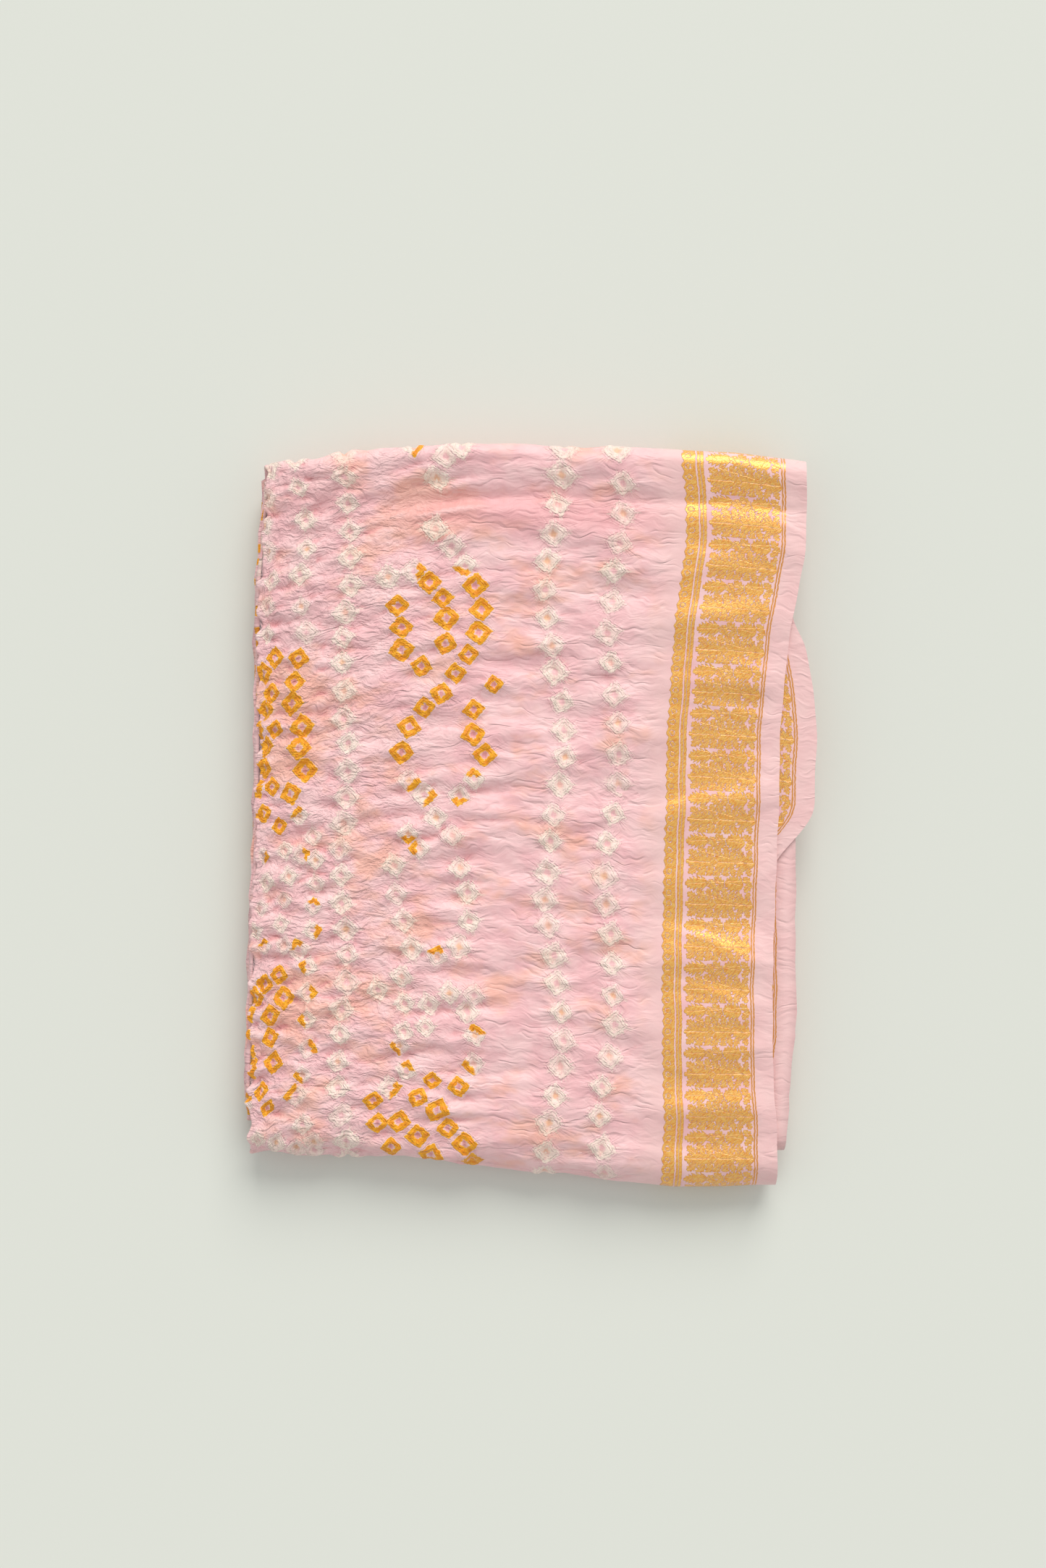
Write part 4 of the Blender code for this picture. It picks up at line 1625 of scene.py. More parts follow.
class JaggedLeaf(EffectGroup):
    """A lens-shaped leaf with toothed sides, in millimetres, about the origin."""

    name = "jagged_leaf"
    takes = (("Place", VECTOR), ("Half length", FLOAT), ("Half width", FLOAT), ("Teeth", FLOAT))
    gives = (("Cover", FLOAT), ("Edge", FLOAT))
    roundness: float = 0.55
    tooth_lean: float = 0.55
    tooth_reach: Pair = (0.50, 0.58)
    cover_step: Pair = (-0.03, 0.06)
    rib_side: Pair = (0.24, 0.12)
    rib_end: Pair = (0.3, 0.5)
    rib_tone: Pair = (-0.25, 1.0)
    edge_middle: float = 0.03
    edge_step: Pair = (0.07, 0.02)

    def make(self, graph: Graph, ins: bpy.types.Node) -> dict[str, Socket]:
        """Cover is 1 inside the leaf, Edge is 1 along its outline.

        Args:
            graph: The group's own nodes.
            ins: Node that gives the group's inputs.

        Returns:
            The group's outputs by name.
        """
        x, y, _ = graph.split(ins.outputs["Place"])
        u = graph.math("DIVIDE", x, ins.outputs["Half length"])
        room = graph.math("SUBTRACT", 1.0, graph.times(u, u), clamp=True)
        profile = graph.math("POWER", room, self.roundness)
        aside = graph.math("ABSOLUTE", y)
        v = graph.math("DIVIDE", aside, ins.outputs["Half width"])
        lean = graph.times(v, self.tooth_lean)
        beat = graph.times(graph.minus(u, lean), ins.outputs["Teeth"])
        tooth = graph.times(graph.math("PINGPONG", beat, 0.5), 2.0)
        gap = graph.minus(graph.times(profile, graph.scaled(tooth, *self.tooth_reach)), v)
        rib = graph.times(graph.step(aside, *self.rib_side), graph.step(room, *self.rib_end))
        beside = graph.math("ABSOLUTE", graph.minus(gap, self.edge_middle))
        cover = graph.times(graph.step(gap, *self.cover_step), graph.scaled(rib, *self.rib_tone))
        return {"Cover": cover, "Edge": graph.step(beside, *self.edge_step)}


@dataclass(frozen=True)
class LeafPlace:
    """One leaf of the border's repeat: its middle from the woven edge and along, and its form."""

    across: float
    along: float
    half_length: float
    half_width: float
    teeth: float
    tilt: float = 0.0
    mirrored: bool = False


@dataclass(frozen=True)
class BorderPlan:
    """The woven gold border, in millimetres from the woven edge."""

    thin_lines: tuple[tuple[float, float], ...] = ((9.3, 10.05), (10.5, 11.25))
    double_stripe: tuple[tuple[float, float], ...] = ((45.3, 46.75), (46.95, 48.2))
    vine: tuple[float, float] = (48.9, 54.7)
    vine_pitch: float = 5.2
    leaf_pitch: float = 20.7
    leaf_cell_start: float = -6.6
    leaves: tuple[LeafPlace, ...] = (
        LeafPlace(36.6, 0.0, 7.8, 4.2, 3.0),
        LeafPlace(40.3, 3.6, 3.5, 2.4, 1.8, 38.0, True),
        LeafPlace(36.4, 4.9, 3.3, 2.4, 1.8, 58.0, True),
        LeafPlace(32.4, 4.8, 3.1, 2.2, 1.7, 74.0, True),
        LeafPlace(26.2, 0.2, 6.2, 5.3, 2.6),
        LeafPlace(28.8, 5.1, 3.1, 2.2, 1.7, 62.0, True),
        LeafPlace(24.8, 5.4, 2.9, 2.1, 1.6, 84.0, True),
        LeafPlace(21.4, 4.1, 2.8, 2.0, 1.6, 112.0, True),
        LeafPlace(16.2, 0.3, 5.1, 4.8, 2.6, 14.0),
        LeafPlace(17.8, 4.3, 2.7, 2.0, 1.6, 62.0, True),
        LeafPlace(13.8, 4.0, 2.6, 1.8, 1.5, 116.0, True),
        LeafPlace(38.4, 10.3, 6.0, 4.0, 3.0, -4.0),
        LeafPlace(31.4, 10.0, 2.7, 2.9, 1.4, 60.0),
        LeafPlace(27.8, 11.6, 3.0, 2.3, 1.6, 42.0),
        LeafPlace(27.2, 8.4, 2.6, 1.9, 1.4, -40.0),
        LeafPlace(20.4, 10.3, 4.7, 5.2, 2.7, 8.0),
        LeafPlace(14.2, 12.0, 3.0, 2.2, 1.5, 55.0),
        LeafPlace(13.6, 8.5, 2.8, 2.0, 1.5, -52.0),
    )


class WovenBorder(EffectGroup):
    """Gold lines, the vine and the leaves of the border."""

    name = "woven_border"
    takes = (("Place", VECTOR),)
    gives = (("Gold", FLOAT), ("Lines", FLOAT), ("Thread", FLOAT))
    drift: Drift = Drift(0.55, 1.0, 0.5, 0.9)
    stripe_soft: float = 0.12
    line_soft: float = 0.1
    stroke_slant: float = 38.0
    strokes: Grain = Grain(0.45, 1.7, 2.0, 0.6)
    grain: Grain = Grain(3.2, 3.2, 1.0, 0.5)
    share_of_grain: float = 0.35
    share_of_strokes: float = 0.65
    fray: float = 0.5
    fray_step: Pair = (0.62, 0.95)
    leaf_edge_tone: Pair = (-0.34, 1.0)
    vine_rise: float = 0.42
    vine_outer: Pair = (0.75, 0.25)
    vine_inner: Pair = (-0.1, 0.15)
    curl_inset: float = 2.5
    curl_bend: float = 1.6
    curl_noise: tuple[float, float, float] = (0.9, 1.0, 0.5)
    curl_ring: tuple[float, float, float] = (1.9, 2.15, 0.15)
    curl_tone: Pair = (-0.8, 1.0)

    def __init__(self, plan: BorderPlan, leaf: bpy.types.NodeTree) -> None:
        """Keep the plan of the border and the leaf's group."""
        self.plan = plan
        self.leaf = leaf

    def make(self, graph: Graph, ins: bpy.types.Node) -> dict[str, Socket]:
        """Gold is where gold thread shows, Thread its strokes, Lines the thin edge lines.

        Args:
            graph: The group's own nodes.
            ins: Node that gives the group's inputs.

        Returns:
            The group's outputs by name.
        """
        place = graph.drifted(ins.outputs["Place"], ins.outputs["Place"], self.drift)
        across, along, _ = graph.split(place)
        leaves = self.leaves(graph, across, along)
        vine = self.vine(graph, across, along)
        double = self.lines(graph, across, self.plan.double_stripe, self.stripe_soft)
        lines = self.lines(graph, across, self.plan.thin_lines, self.line_soft)
        gold = graph.math("MAXIMUM", graph.math("MAXIMUM", leaves, vine), double)
        slanted = graph.turned(place, (0.0, 0.0, 0.0), radians(self.stroke_slant))
        strokes = graph.times(graph.grained(slanted, self.strokes), self.share_of_strokes)
        thread = graph.scaled(graph.grained(place, self.grain), self.share_of_grain, strokes)
        frayed = graph.step(graph.scaled(thread, self.fray, gold), *self.fray_step)
        return {"Gold": graph.times(gold, frayed), "Lines": lines, "Thread": thread}

    def lines(self, graph: Graph, across: Socket, pair: tuple[Pair, ...], soft: float) -> Socket:
        """Two lines that run along the border.

        Args:
            graph: Nodes of the material.
            across: Place across the border.
            pair: Where each line starts and ends.
            soft: How soft their edges are.

        Returns:
            Where the lines show.
        """
        return graph.math("MAXIMUM", *(graph.band(across, low, high, soft) for low, high in pair))

    def leaves(self, graph: Graph, across: Socket, along: Socket) -> Socket:
        """The repeat of leaves across the wide band.

        Args:
            graph: Nodes of the material.
            across: Place across the border.
            along: Place along the border.

        Returns:
            Where the leaves show.
        """
        plan = self.plan
        end = plan.leaf_cell_start + plan.leaf_pitch
        in_cell = graph.math("WRAP", along, end, plan.leaf_cell_start)
        here = graph.join(across, in_cell)
        both_ways = graph.join(across, graph.math("ABSOLUTE", in_cell))
        cover: Socket | None = None
        edge: Socket | None = None
        for leaf in plan.leaves:
            source = both_ways if leaf.mirrored else here
            place = graph.turned(source, (leaf.across, leaf.along, 0.0), radians(-leaf.tilt))
            node = graph.use(
                self.leaf, Place=place, Half_length=leaf.half_length,
                Half_width=leaf.half_width, Teeth=leaf.teeth,
            )
            shape, outline = node.outputs["Cover"], node.outputs["Edge"]
            cover = shape if cover is None else graph.math("MAXIMUM", cover, shape)
            edge = outline if edge is None else graph.math("MAXIMUM", edge, outline)
        return graph.times(cover, graph.scaled(edge, *self.leaf_edge_tone))

    def vine(self, graph: Graph, across: Socket, along: Socket) -> Socket:
        """The narrow band of small leaves with curls of pink along one side.

        Args:
            graph: Nodes of the material.
            across: Place across the border.
            along: Place along the border.

        Returns:
            Where the vine shows.
        """
        low, high = self.plan.vine
        half_pitch = self.plan.vine_pitch / 2.0
        wave = graph.times(graph.math("PINGPONG", along, half_pitch), self.vine_rise)
        outer = graph.step(graph.plus(across, wave), *(high + edge for edge in self.vine_outer))
        inner = graph.step(across, *(low + edge for edge in self.vine_inner))
        ring_along = graph.math("WRAP", along, half_pitch, -half_pitch)
        ring_across = graph.minus(across, high - self.curl_inset)
        away = graph.vector("LENGTH", graph.join(ring_across, ring_along))
        bend = graph.noise(graph.join(across, along), *self.curl_noise)
        curl = graph.band(graph.scaled(bend, self.curl_bend, away), *self.curl_ring)
        return graph.times(graph.times(outer, inner), graph.scaled(curl, *self.curl_tone))


@dataclass(frozen=True)
class NearTie:
    """What every part of a tied square's drawing measures from."""

    own: Socket  # place from the tie, turned with it
    forward: Socket  # the same after the dye's drift, along the cloth
    ray: Socket  # direction from the tie
    away: Socket  # distance from the tie, 1 at the square's edge
    dyed: Socket  # which dye the square took
    turn: Socket  # a number of its own for each square
    seed: Socket  # the square's own place in a noise
    streak: Socket  # how ragged its edges are along each ray


class TiedPattern(EffectGroup):
    """The dyed square of the nearest tie: its orange ring, cream marks with a painted highlight, and
    pleats.
    """

    name = "tied_pattern"
    takes = (("Place", VECTOR), ("Tie", VECTOR), ("Form", VECTOR))
    gives = (
        ("Orange", FLOAT), ("Cream", FLOAT), ("Rim", FLOAT), ("Pleat", FLOAT), ("Heart", FLOAT),
        ("Stained", FLOAT),
    )
    drift: Drift = Drift(0.42, 2.0, 0.6, 2.1)
    roundness: float = 1.12
    seed_turns: tuple[float, float, float] = (3.1, 5.3, 2.7)  # gains of a square's own number
    seed_part: float = 0.7
    streak_rays: float = 3.4
    streaks: tuple[float, float, float] = (1.6, 2.0, 0.6)
    full_dye: Pair = (0.85, 0.95)
    ring_inner: Pair = (0.44, 0.15)
    ring_outer: Pair = (0.14, 1.0)
    ring_step: Pair = (-0.02, 0.05)
    rim_step: Pair = (0.16, 0.0)
    fleck_aim: Pair = (0.25, 0.6)
    fleck_dye: tuple[float, float, float] = (0.4, 0.6, 0.05)
    cream_inner: Pair = (0.16, 0.40)
    cream_outer: Pair = (1.14, 0.96)
    cream_ragged: Pair = (0.8, -0.4)
    cream_strokes: Grain = Grain(1.1, 0.35, 2.0, 0.6)
    cream_break: Pair = (0.30, 0.62)
    cream_broken: Pair = (0.62, 0.3)
    # Painted highlight: the cream is made paler along the front of the ring, where the pit's rim
    # faces the light.
    painted_ring_highlight_band: tuple[float, float, float] = (0.74, 0.98, 0.08)
    painted_ring_highlight_side: Pair = (1.5, -1.5)
    painted_ring_highlight_strength: float = 0.95
    spike_rays: float = 5.5
    spike_noise: tuple[float, float, float] = (1.3, 1.0, 0.5)
    spike_step: Pair = (0.54, 0.66)
    spike_far: Pair = (1.75, 1.0)
    spike_near: Pair = (0.6, 0.9)
    spike_strength: float = 0.6
    cream_beside_orange: Pair = (-0.7, 1.0)
    cream_change: float = 5.0
    cream_strength: Pair = (0.42, 0.62)
    windings: float = 24.0
    winding_patches: Grain = Grain(0.5, 0.5, 2.0, 0.6)
    winding_step: Pair = (0.35, 0.65)
    winding_near: Pair = (0.35, 0.65)
    winding_far: Pair = (1.5, 1.0)
    fan_rays: float = 3.2
    fan_noise: tuple[float, float, float] = (1.2, 1.0, 0.5)
    fan_fold: Pair = (6.0, -3.0)
    fan_patches: Grain = Grain(0.11, 0.16, 1.0, 0.5)
    fan_step: Pair = (0.36, 0.62)
    fan_sideways: float = 1.5
    fan_near: Pair = (0.8, 1.25)
    fan_far: Pair = (3.4, 1.2)
    fan_depth: float = -1.5
    heart_step: Pair = (0.5, 0.1)
    stain_change: float = 7.0
    stain_step: Pair = (0.3, 1.0)

    def make(self, graph: Graph, ins: bpy.types.Node) -> dict[str, Socket]:
        """Masks of the dyes, the rim and the middle of a square, and its pleats as a height.

        Stained is the share of orange dye that ran into the middle.

        Args:
            graph: The group's own nodes.
            ins: Node that gives the group's inputs.

        Returns:
            The group's outputs by name.
        """
        near = self.measured(graph, ins)
        orange, rim = self.orange(graph, near)
        undyed = graph.step(near.dyed, *reversed(self.full_dye))
        turned = graph.math("SINE", graph.times(near.turn, self.stain_change))
        fan = self.fan(graph, near, ins.outputs["Place"])
        return {
            "Orange": orange,
            "Cream": self.cream(graph, near),
            "Rim": rim,
            "Pleat": graph.scaled(fan, self.fan_depth, self.winding(graph, near)),
            "Heart": graph.times(graph.step(near.away, *self.heart_step), undyed),
            "Stained": graph.step(turned, *self.stain_step),
        }

    def measured(self, graph: Graph, ins: bpy.types.Node) -> NearTie:
        """Measure a place from its nearest tie.

        Args:
            graph: The group's own nodes.
            ins: Node that gives the group's inputs.

        Returns:
            The measures.
        """
        tie_across, tie_along, dyed = graph.split(ins.outputs["Tie"])
        half, tilt, turn = graph.split(ins.outputs["Form"])
        own = graph.turned(ins.outputs["Place"], graph.join(tie_across, tie_along), tilt)
        x, y, _ = graph.split(graph.drifted(own, ins.outputs["Place"], self.drift))
        x_part = graph.math("POWER", graph.math("ABSOLUTE", x), self.roundness)
        y_part = graph.math("POWER", graph.math("ABSOLUTE", y), self.roundness)
        away = graph.math("POWER", graph.plus(x_part, y_part), 1.0 / self.roundness)
        away = graph.math("DIVIDE", away, half)
        ray = graph.vector("NORMALIZE", own)
        seed = graph.join(turn, graph.times(turn, self.seed_turns[0]), away)
        rays = graph.stretch(ray, self.streak_rays, self.streak_rays)
        streak_place = graph.vector("ADD", rays, graph.stretch(seed, 1.0, 1.0, self.seed_part))
        streak = graph.noise(streak_place, *self.streaks)
        return NearTie(own, y, ray, away, dyed, turn, seed, streak)

    def orange(self, graph: Graph, near: NearTie) -> tuple[Socket, Socket]:
        """The orange ring of a square that took the dye, or a fleck of it at one side.

        Args:
            graph: The group's own nodes.
            near: Measures from the nearest tie.

        Returns:
            Where the orange shows, and the paler rim along its edges.
        """
        from_inner = graph.minus(near.away, graph.scaled(near.streak, *self.ring_inner))
        to_outer = graph.minus(graph.scaled(near.streak, *self.ring_outer), near.away)
        inside = graph.math("MINIMUM", from_inner, to_outer)
        side = graph.join(graph.math("COSINE", near.turn), graph.math("SINE", near.turn))
        aimed = graph.step(graph.vector("DOT_PRODUCT", near.ray, side), *self.fleck_aim)
        fleck = graph.times(aimed, graph.band(near.dyed, *self.fleck_dye))
        amount = graph.math("MAXIMUM", graph.step(near.dyed, *self.full_dye), fleck)
        ring = graph.step(inside, *self.ring_step)
        return graph.times(ring, amount), graph.step(inside, *self.rim_step)

    def cream(self, graph: Graph, near: NearTie) -> Socket:
        """The undyed marks of a tie: a broken ring with spikes round it, and a painted highlight
        along the front of the ring, where the pit's rim faces the light.

        Args:
            graph: The group's own nodes.
            near: Measures from the nearest tie.

        Returns:
            Where the cream shows.
        """
        away = near.away
        ragged = graph.scaled(near.streak, *self.cream_ragged)
        cream_out = graph.step(away, *(graph.plus(ragged, edge) for edge in self.cream_outer))
        whole = graph.times(graph.step(away, *self.cream_inner), cream_out)
        stroke = graph.step(graph.grained(near.own, self.cream_strokes), *self.cream_break)
        # Painted highlight along the front edge of the ring.
        painted_light = graph.step(near.forward, *self.painted_ring_highlight_side)
        painted_ring_highlight = graph.times(graph.band(away, *self.painted_ring_highlight_band), painted_light)
        painted_ring_highlight = graph.times(painted_ring_highlight, self.painted_ring_highlight_strength)
        broken = graph.math("MAXIMUM", graph.scaled(stroke, *self.cream_broken), painted_ring_highlight)
        cream = graph.times(whole, broken)
        rays = graph.stretch(near.ray, self.spike_rays, self.spike_rays)
        spikes = graph.noise(graph.vector("ADD", rays, near.seed), *self.spike_noise)
        spikes = graph.times(graph.step(spikes, *self.spike_step), graph.step(away, *self.spike_far))
        spikes = graph.times(spikes, graph.step(away, *self.spike_near))
        cream = graph.math("MAXIMUM", cream, graph.times(spikes, self.spike_strength))
        beside = graph.scaled(graph.step(near.dyed, *self.full_dye), *self.cream_beside_orange)
        strength = graph.math("SINE", graph.times(near.turn, self.cream_change))
        strength = graph.scaled(graph.math("ABSOLUTE", strength), *self.cream_strength)
        return graph.times(graph.times(cream, beside), strength)

    def winding(self, graph: Graph, near: NearTie) -> Socket:
        """The marks that the thread's windings pressed round a tie.

        Args:
            graph: The group's own nodes.
            near: Measures from the nearest tie.

        Returns:
            Their height.
        """
        away = near.away
        winding = graph.math("SINE", graph.times(away, self.windings))
        uneven = graph.step(graph.grained(near.own, self.winding_patches), *self.winding_step)
        fade = graph.times(graph.step(away, *self.winding_near), graph.step(away, *self.winding_far))
        return graph.times(graph.times(winding, uneven), fade)

    def fan(self, graph: Graph, near: NearTie, place: Socket) -> Socket:
        """The pleats that fan out from a tie, mostly across the cloth.

        Args:
            graph: The group's own nodes.
            near: Measures from the nearest tie.
            place: Place on the flat cloth.

        Returns:
            Their depth.
        """
        away = near.away
        second, third = (graph.times(near.turn, share) for share in self.seed_turns[1:])
        rays = graph.stretch(near.ray, self.fan_rays, self.fan_rays)
        fan_place = graph.vector("ADD", rays, graph.join(second, near.turn, third))
        fan = graph.scaled(graph.noise(fan_place, *self.fan_noise), *self.fan_fold)
        fan = graph.math("ABSOLUTE", fan, clamp=True)
        fan = graph.times(fan, graph.step(graph.grained(place, self.fan_patches), *self.fan_step))
        beside = graph.math("ABSOLUTE", graph.split(near.ray)[0])
        sideways = graph.math("POWER", beside, self.fan_sideways)
        reach = graph.times(graph.step(away, *self.fan_near), graph.step(away, *self.fan_far))
        return graph.times(fan, graph.times(reach, sideways))


class SilkCrinkle(EffectGroup):
    """Fine crinkles of silk that was tied, and its weave, as one height in millimetres."""

    name = "silk_crinkle"
    takes = (("Place", VECTOR), ("Field", FLOAT))
    gives = (("Height", FLOAT), ("Weave", FLOAT))
    drift: Drift = Drift(0.09, 1.0, 0.5, 9.0)
    waves: Grain = Grain(0.10, 0.30, 2.0, 0.5)
    wave_height: float = 1.1
    creases: Grain = Grain(0.034, 0.15, 0.6, 0.5)
    crease_fold: Pair = (16.0, -8.0)
    crease_patches: Grain = Grain(0.07, 0.12, 1.0, 0.5)
    crease_step: Pair = (0.42, 0.58)
    crease_depth: float = -0.42
    facets: Grain = Grain(0.26, 0.46, 2.0, 0.55)
    facet_reach: Pair = (130.0, 205.0)
    facet_height: float = 2.2
    calm: Pair = (0.9, 0.1)
    warp: Grain = Grain(3.4, 0.22, 1.0, 0.5)
    weft: Grain = Grain(0.22, 3.4, 1.0, 0.5)
    weave_height: float = 0.05

    def make(self, graph: Graph, ins: bpy.types.Node) -> dict[str, Socket]:
        """Height fades outside the tied field, Weave is a value about 0.5 everywhere.

        Args:
            graph: The group's own nodes.
            ins: Node that gives the group's inputs.

        Returns:
            The group's outputs by name.
        """
        place = ins.outputs["Place"]
        bent = graph.drifted(place, place, self.drift)
        course = graph.scaled(graph.grained(bent, self.creases), *self.crease_fold)
        beside = graph.math("ABSOLUTE", course, clamp=True)
        where = graph.step(graph.grained(place, self.crease_patches), *self.crease_step)
        crease = graph.times(graph.minus(1.0, beside), where)
        waves = graph.times(graph.grained(bent, self.waves), self.wave_height)
        folds = graph.scaled(crease, self.crease_depth, waves)
        gathered = graph.step(graph.split(place)[0], *self.facet_reach)
        facets = graph.times(graph.grained(bent, self.facets), gathered)
        folds = graph.scaled(facets, self.facet_height, folds)
        warp, weft = graph.grained(place, self.warp), graph.grained(place, self.weft)
        weave = graph.times(graph.plus(warp, weft), 0.5)
        height = graph.times(folds, graph.scaled(ins.outputs["Field"], *self.calm))
        return {"Height": graph.scaled(weave, self.weave_height, height), "Weave": weave}


@dataclass(frozen=True)
class SilkFinish:
    """Dyes, threads and gloss of the cloth, with light and shade painted over its relief, its back
    crease, its tied squares and its gold thread.
    """

    pink: tuple[float, ...] = dye(250, 206, 206)
    deep_pink: tuple[float, ...] = dye(242, 184, 188)
    # Painted shade for the troughs of the relief, and painted highlight for its crests.
    painted_trough_shade_pink: tuple[float, ...] = dye(224, 142, 144)
    painted_crest_highlight_pink: tuple[float, ...] = dye(253, 222, 220)
    peach: tuple[float, ...] = dye(247, 174, 140)
    edge_pink: tuple[float, ...] = dye(244, 204, 199)
    heart_peach: tuple[float, ...] = dye(253, 208, 160)
    # Deeper pink of the bath marks, also used as painted shade in front of the back crease.
    bath_and_shade_pink: tuple[float, ...] = dye(232, 160, 163)
    cream: tuple[float, ...] = dye(255, 242, 220)
    orange: tuple[float, ...] = dye(255, 176, 14)
    deep_orange: tuple[float, ...] = dye(240, 144, 6)
    yellow: tuple[float, ...] = dye(255, 200, 40)
    # Lit and shaded gold of the thread's strokes: the thread's grain, with painted highlight and
    # painted shade for the glint of the metal.
    gold: tuple[float, ...] = dye(255, 205, 110)
    deep_and_shaded_gold: tuple[float, ...] = dye(241, 152, 63)
    line_gold: tuple[float, ...] = dye(230, 158, 88)
    silk_rough: float = 0.52
    gold_rough: float = 0.33
    gold_metal: float = 0.4
    sheen: float = 0.25
    sheen_rough: float = 0.4
    crinkle: float = 0.75
    pleat: float = 0.22
    # How far below or above its surroundings the relief stands, in mm, where the painted shade and
    # painted highlight are full.
    trough_depth: float = 0.8
    stains: tuple[tuple[float, ...], ...] = (  # across, along, reach across, reach along, strength
        (168.0, 152.0, 27.0, 19.0, 0.34),
        (238.0, 44.0, 34.0, 42.0, 0.2),
        (236.0, -102.0, 30.0, 40.0, 0.2),
        (150.0, 95.0, 24.0, 14.0, 0.08),
        (166.0, -62.0, 34.0, 26.0, 0.08),
        (196.0, -22.0, 30.0, 24.0, 0.08),
        (60.0, -60.0, 14.0, 70.0, 0.06),
    )
    bath_marks_and_shade: tuple[tuple[float, ...], ...] = (  # the same, where the pink bath took deeper along the back crease, and painted shade over the slope in front of that crease
        (118.0, 147.0, 92.0, 14.0, 0.72),
        (216.0, 160.0, 30.0, 14.0, 0.3),
    )
    thread: float = 0.32
    thread_rise: Pair = (0.6, 0.6)
    field_edge: Pair = (54.0, 66.0)
    woven_edge: Pair = (10.0, 7.0)
    woven_edge_loose: float = 0.55
    bath: Grain = Grain(0.05, 0.05, 4.0, 0.6)
    bath_step: Pair = (0.32, 0.68)
    stray: Grain = Grain(0.028, 0.04, 3.0, 0.65)
    stray_step: Pair = (0.5, 0.7)
    stray_strength: float = 0.6
    stain_fade: Pair = (1.2, 0.2)
    pale_edge: Pair = (14.0, 10.0)
    pale_band: tuple[float, float, float] = (50.0, 66.0, 8.0)
    pale_strength: float = 0.55
    weave_step: Pair = (0.25, 0.75)
    weave_strength: float = 0.22
    # Where the painted shade of the troughs and the painted highlight of the crests begin, and how
    # strong each is.
    crest_start: float = 0.05
    painted_trough_shade_strength: float = 0.75
    painted_crest_highlight_strength: float = 0.5
    heart_strength: float = 0.7
    cream_strength: float = 0.74
    orange_patches: tuple[float, float, float] = (0.4, 2.0, 0.6)
    orange_step: Pair = (0.35, 0.65)
    rim_strength: float = 0.55
    gold_step: Pair = (0.36, 0.62)

    def material(self) -> bpy.types.Material:
        """The cloth's one material.

        Returns:
            The material.
        """
        material = bpy.data.materials.new("bandhani_silk_cloth")
        material.use_nodes = True
        graph = Graph(material.node_tree)
        shader = material.node_tree.nodes["Principled BSDF"]
        flat = graph.add("ShaderNodeUVMap", uv_map="flat_cloth").outputs[0]
        place = graph.vector("SCALE", flat, 1.0 / MM)
        across, _, _ = graph.split(place)
        field = graph.step(across, *self.field_edge)
        tie = graph.add("ShaderNodeAttribute", attribute_name="tie_place").outputs["Vector"]
        form = graph.add("ShaderNodeAttribute", attribute_name="tie_form").outputs["Vector"]
        border = graph.use(WovenBorder(BorderPlan(), JaggedLeaf().build()).build(), Place=place)
        ties = graph.use(TiedPattern().build(), Place=place, Tie=tie, Form=form)
        woven_edge = graph.times(graph.step(across, *self.woven_edge), self.woven_edge_loose)
        loose = graph.math("MAXIMUM", field, woven_edge)
        crinkle = graph.use(SilkCrinkle().build(), Place=place, Field=loose)
        ground = self.ground(graph, place, across, field, crinkle.outputs["Weave"])
        colour = self.dyed(graph, ground, ties)
        colour = self.woven(graph, colour, border)
        graph.feed(shader.inputs["Base Color"], colour)
        gold = graph.math("MAXIMUM", border.outputs["Gold"], border.outputs["Lines"])
        rough = graph.scaled(gold, self.gold_rough - self.silk_rough, self.silk_rough)
        graph.feed(shader.inputs["Roughness"], rough)
        graph.feed(shader.inputs["Metallic"], graph.times(gold, self.gold_metal))
        shader.inputs["Sheen Weight"].default_value = self.sheen
        shader.inputs["Sheen Roughness"].default_value = self.sheen_rough
        height = graph.times(crinkle.outputs["Height"], self.crinkle)
        height = graph.scaled(ties.outputs["Pleat"], -self.pleat, height)
        raised = graph.scaled(border.outputs["Thread"], *self.thread_rise)
        raised = graph.times(raised, border.outputs["Gold"])
        height = graph.scaled(raised, self.thread, height)
        bump = graph.add("ShaderNodeBump")
        bump.inputs["Distance"].default_value = MM
        bump.inputs["Strength"].default_value = 1.0
        graph.feed(bump.inputs["Height"], height)
        graph.feed(shader.inputs["Normal"], bump.outputs[0])
        return material

    def ground(
        self, graph: Graph, place: Socket, across: Socket, field: Socket, weave: Socket
    ) -> Socket:
        """The pink ground, uneven from its dye bath, with stray peach, deeper pink along the back
        crease that is partly painted shade, painted shade in the troughs of the relief and painted
        highlight on its crests.

        Args:
            graph: Nodes of the material.
            place: Place on the flat cloth.
            across: Place across the cloth.
            field: Share of the tied field.
            weave: The weave's value.

        Returns:
            The ground's colour.
        """
        cloudy = graph.step(graph.grained(place, self.bath), *self.bath_step)
        pink = graph.blend(cloudy, self.deep_pink, self.pink)
        stray = graph.grained(place, self.stray)
        for stain in self.stains:
            stray = graph.plus(stray, self.stain(graph, place, stain))
        stray = graph.times(graph.step(stray, *self.stray_step), field)
        pink = graph.blend(graph.times(stray, self.stray_strength), pink, self.peach)
        # Deeper pink along the back crease: dye that took deeper there, and painted shade over the
        # slope in front of the crease.
        for mark in self.bath_marks_and_shade:
            pink = graph.blend(self.stain(graph, place, mark), pink, self.bath_and_shade_pink)
        beside_border = graph.band(across, *self.pale_band)
        edge = graph.math("MAXIMUM", graph.step(across, *self.pale_edge), beside_border)
        pink = graph.blend(graph.times(edge, self.pale_strength), pink, self.edge_pink)
        fine = graph.times(graph.step(weave, *self.weave_step), self.weave_strength)
        pink = graph.blend(fine, pink, self.edge_pink)
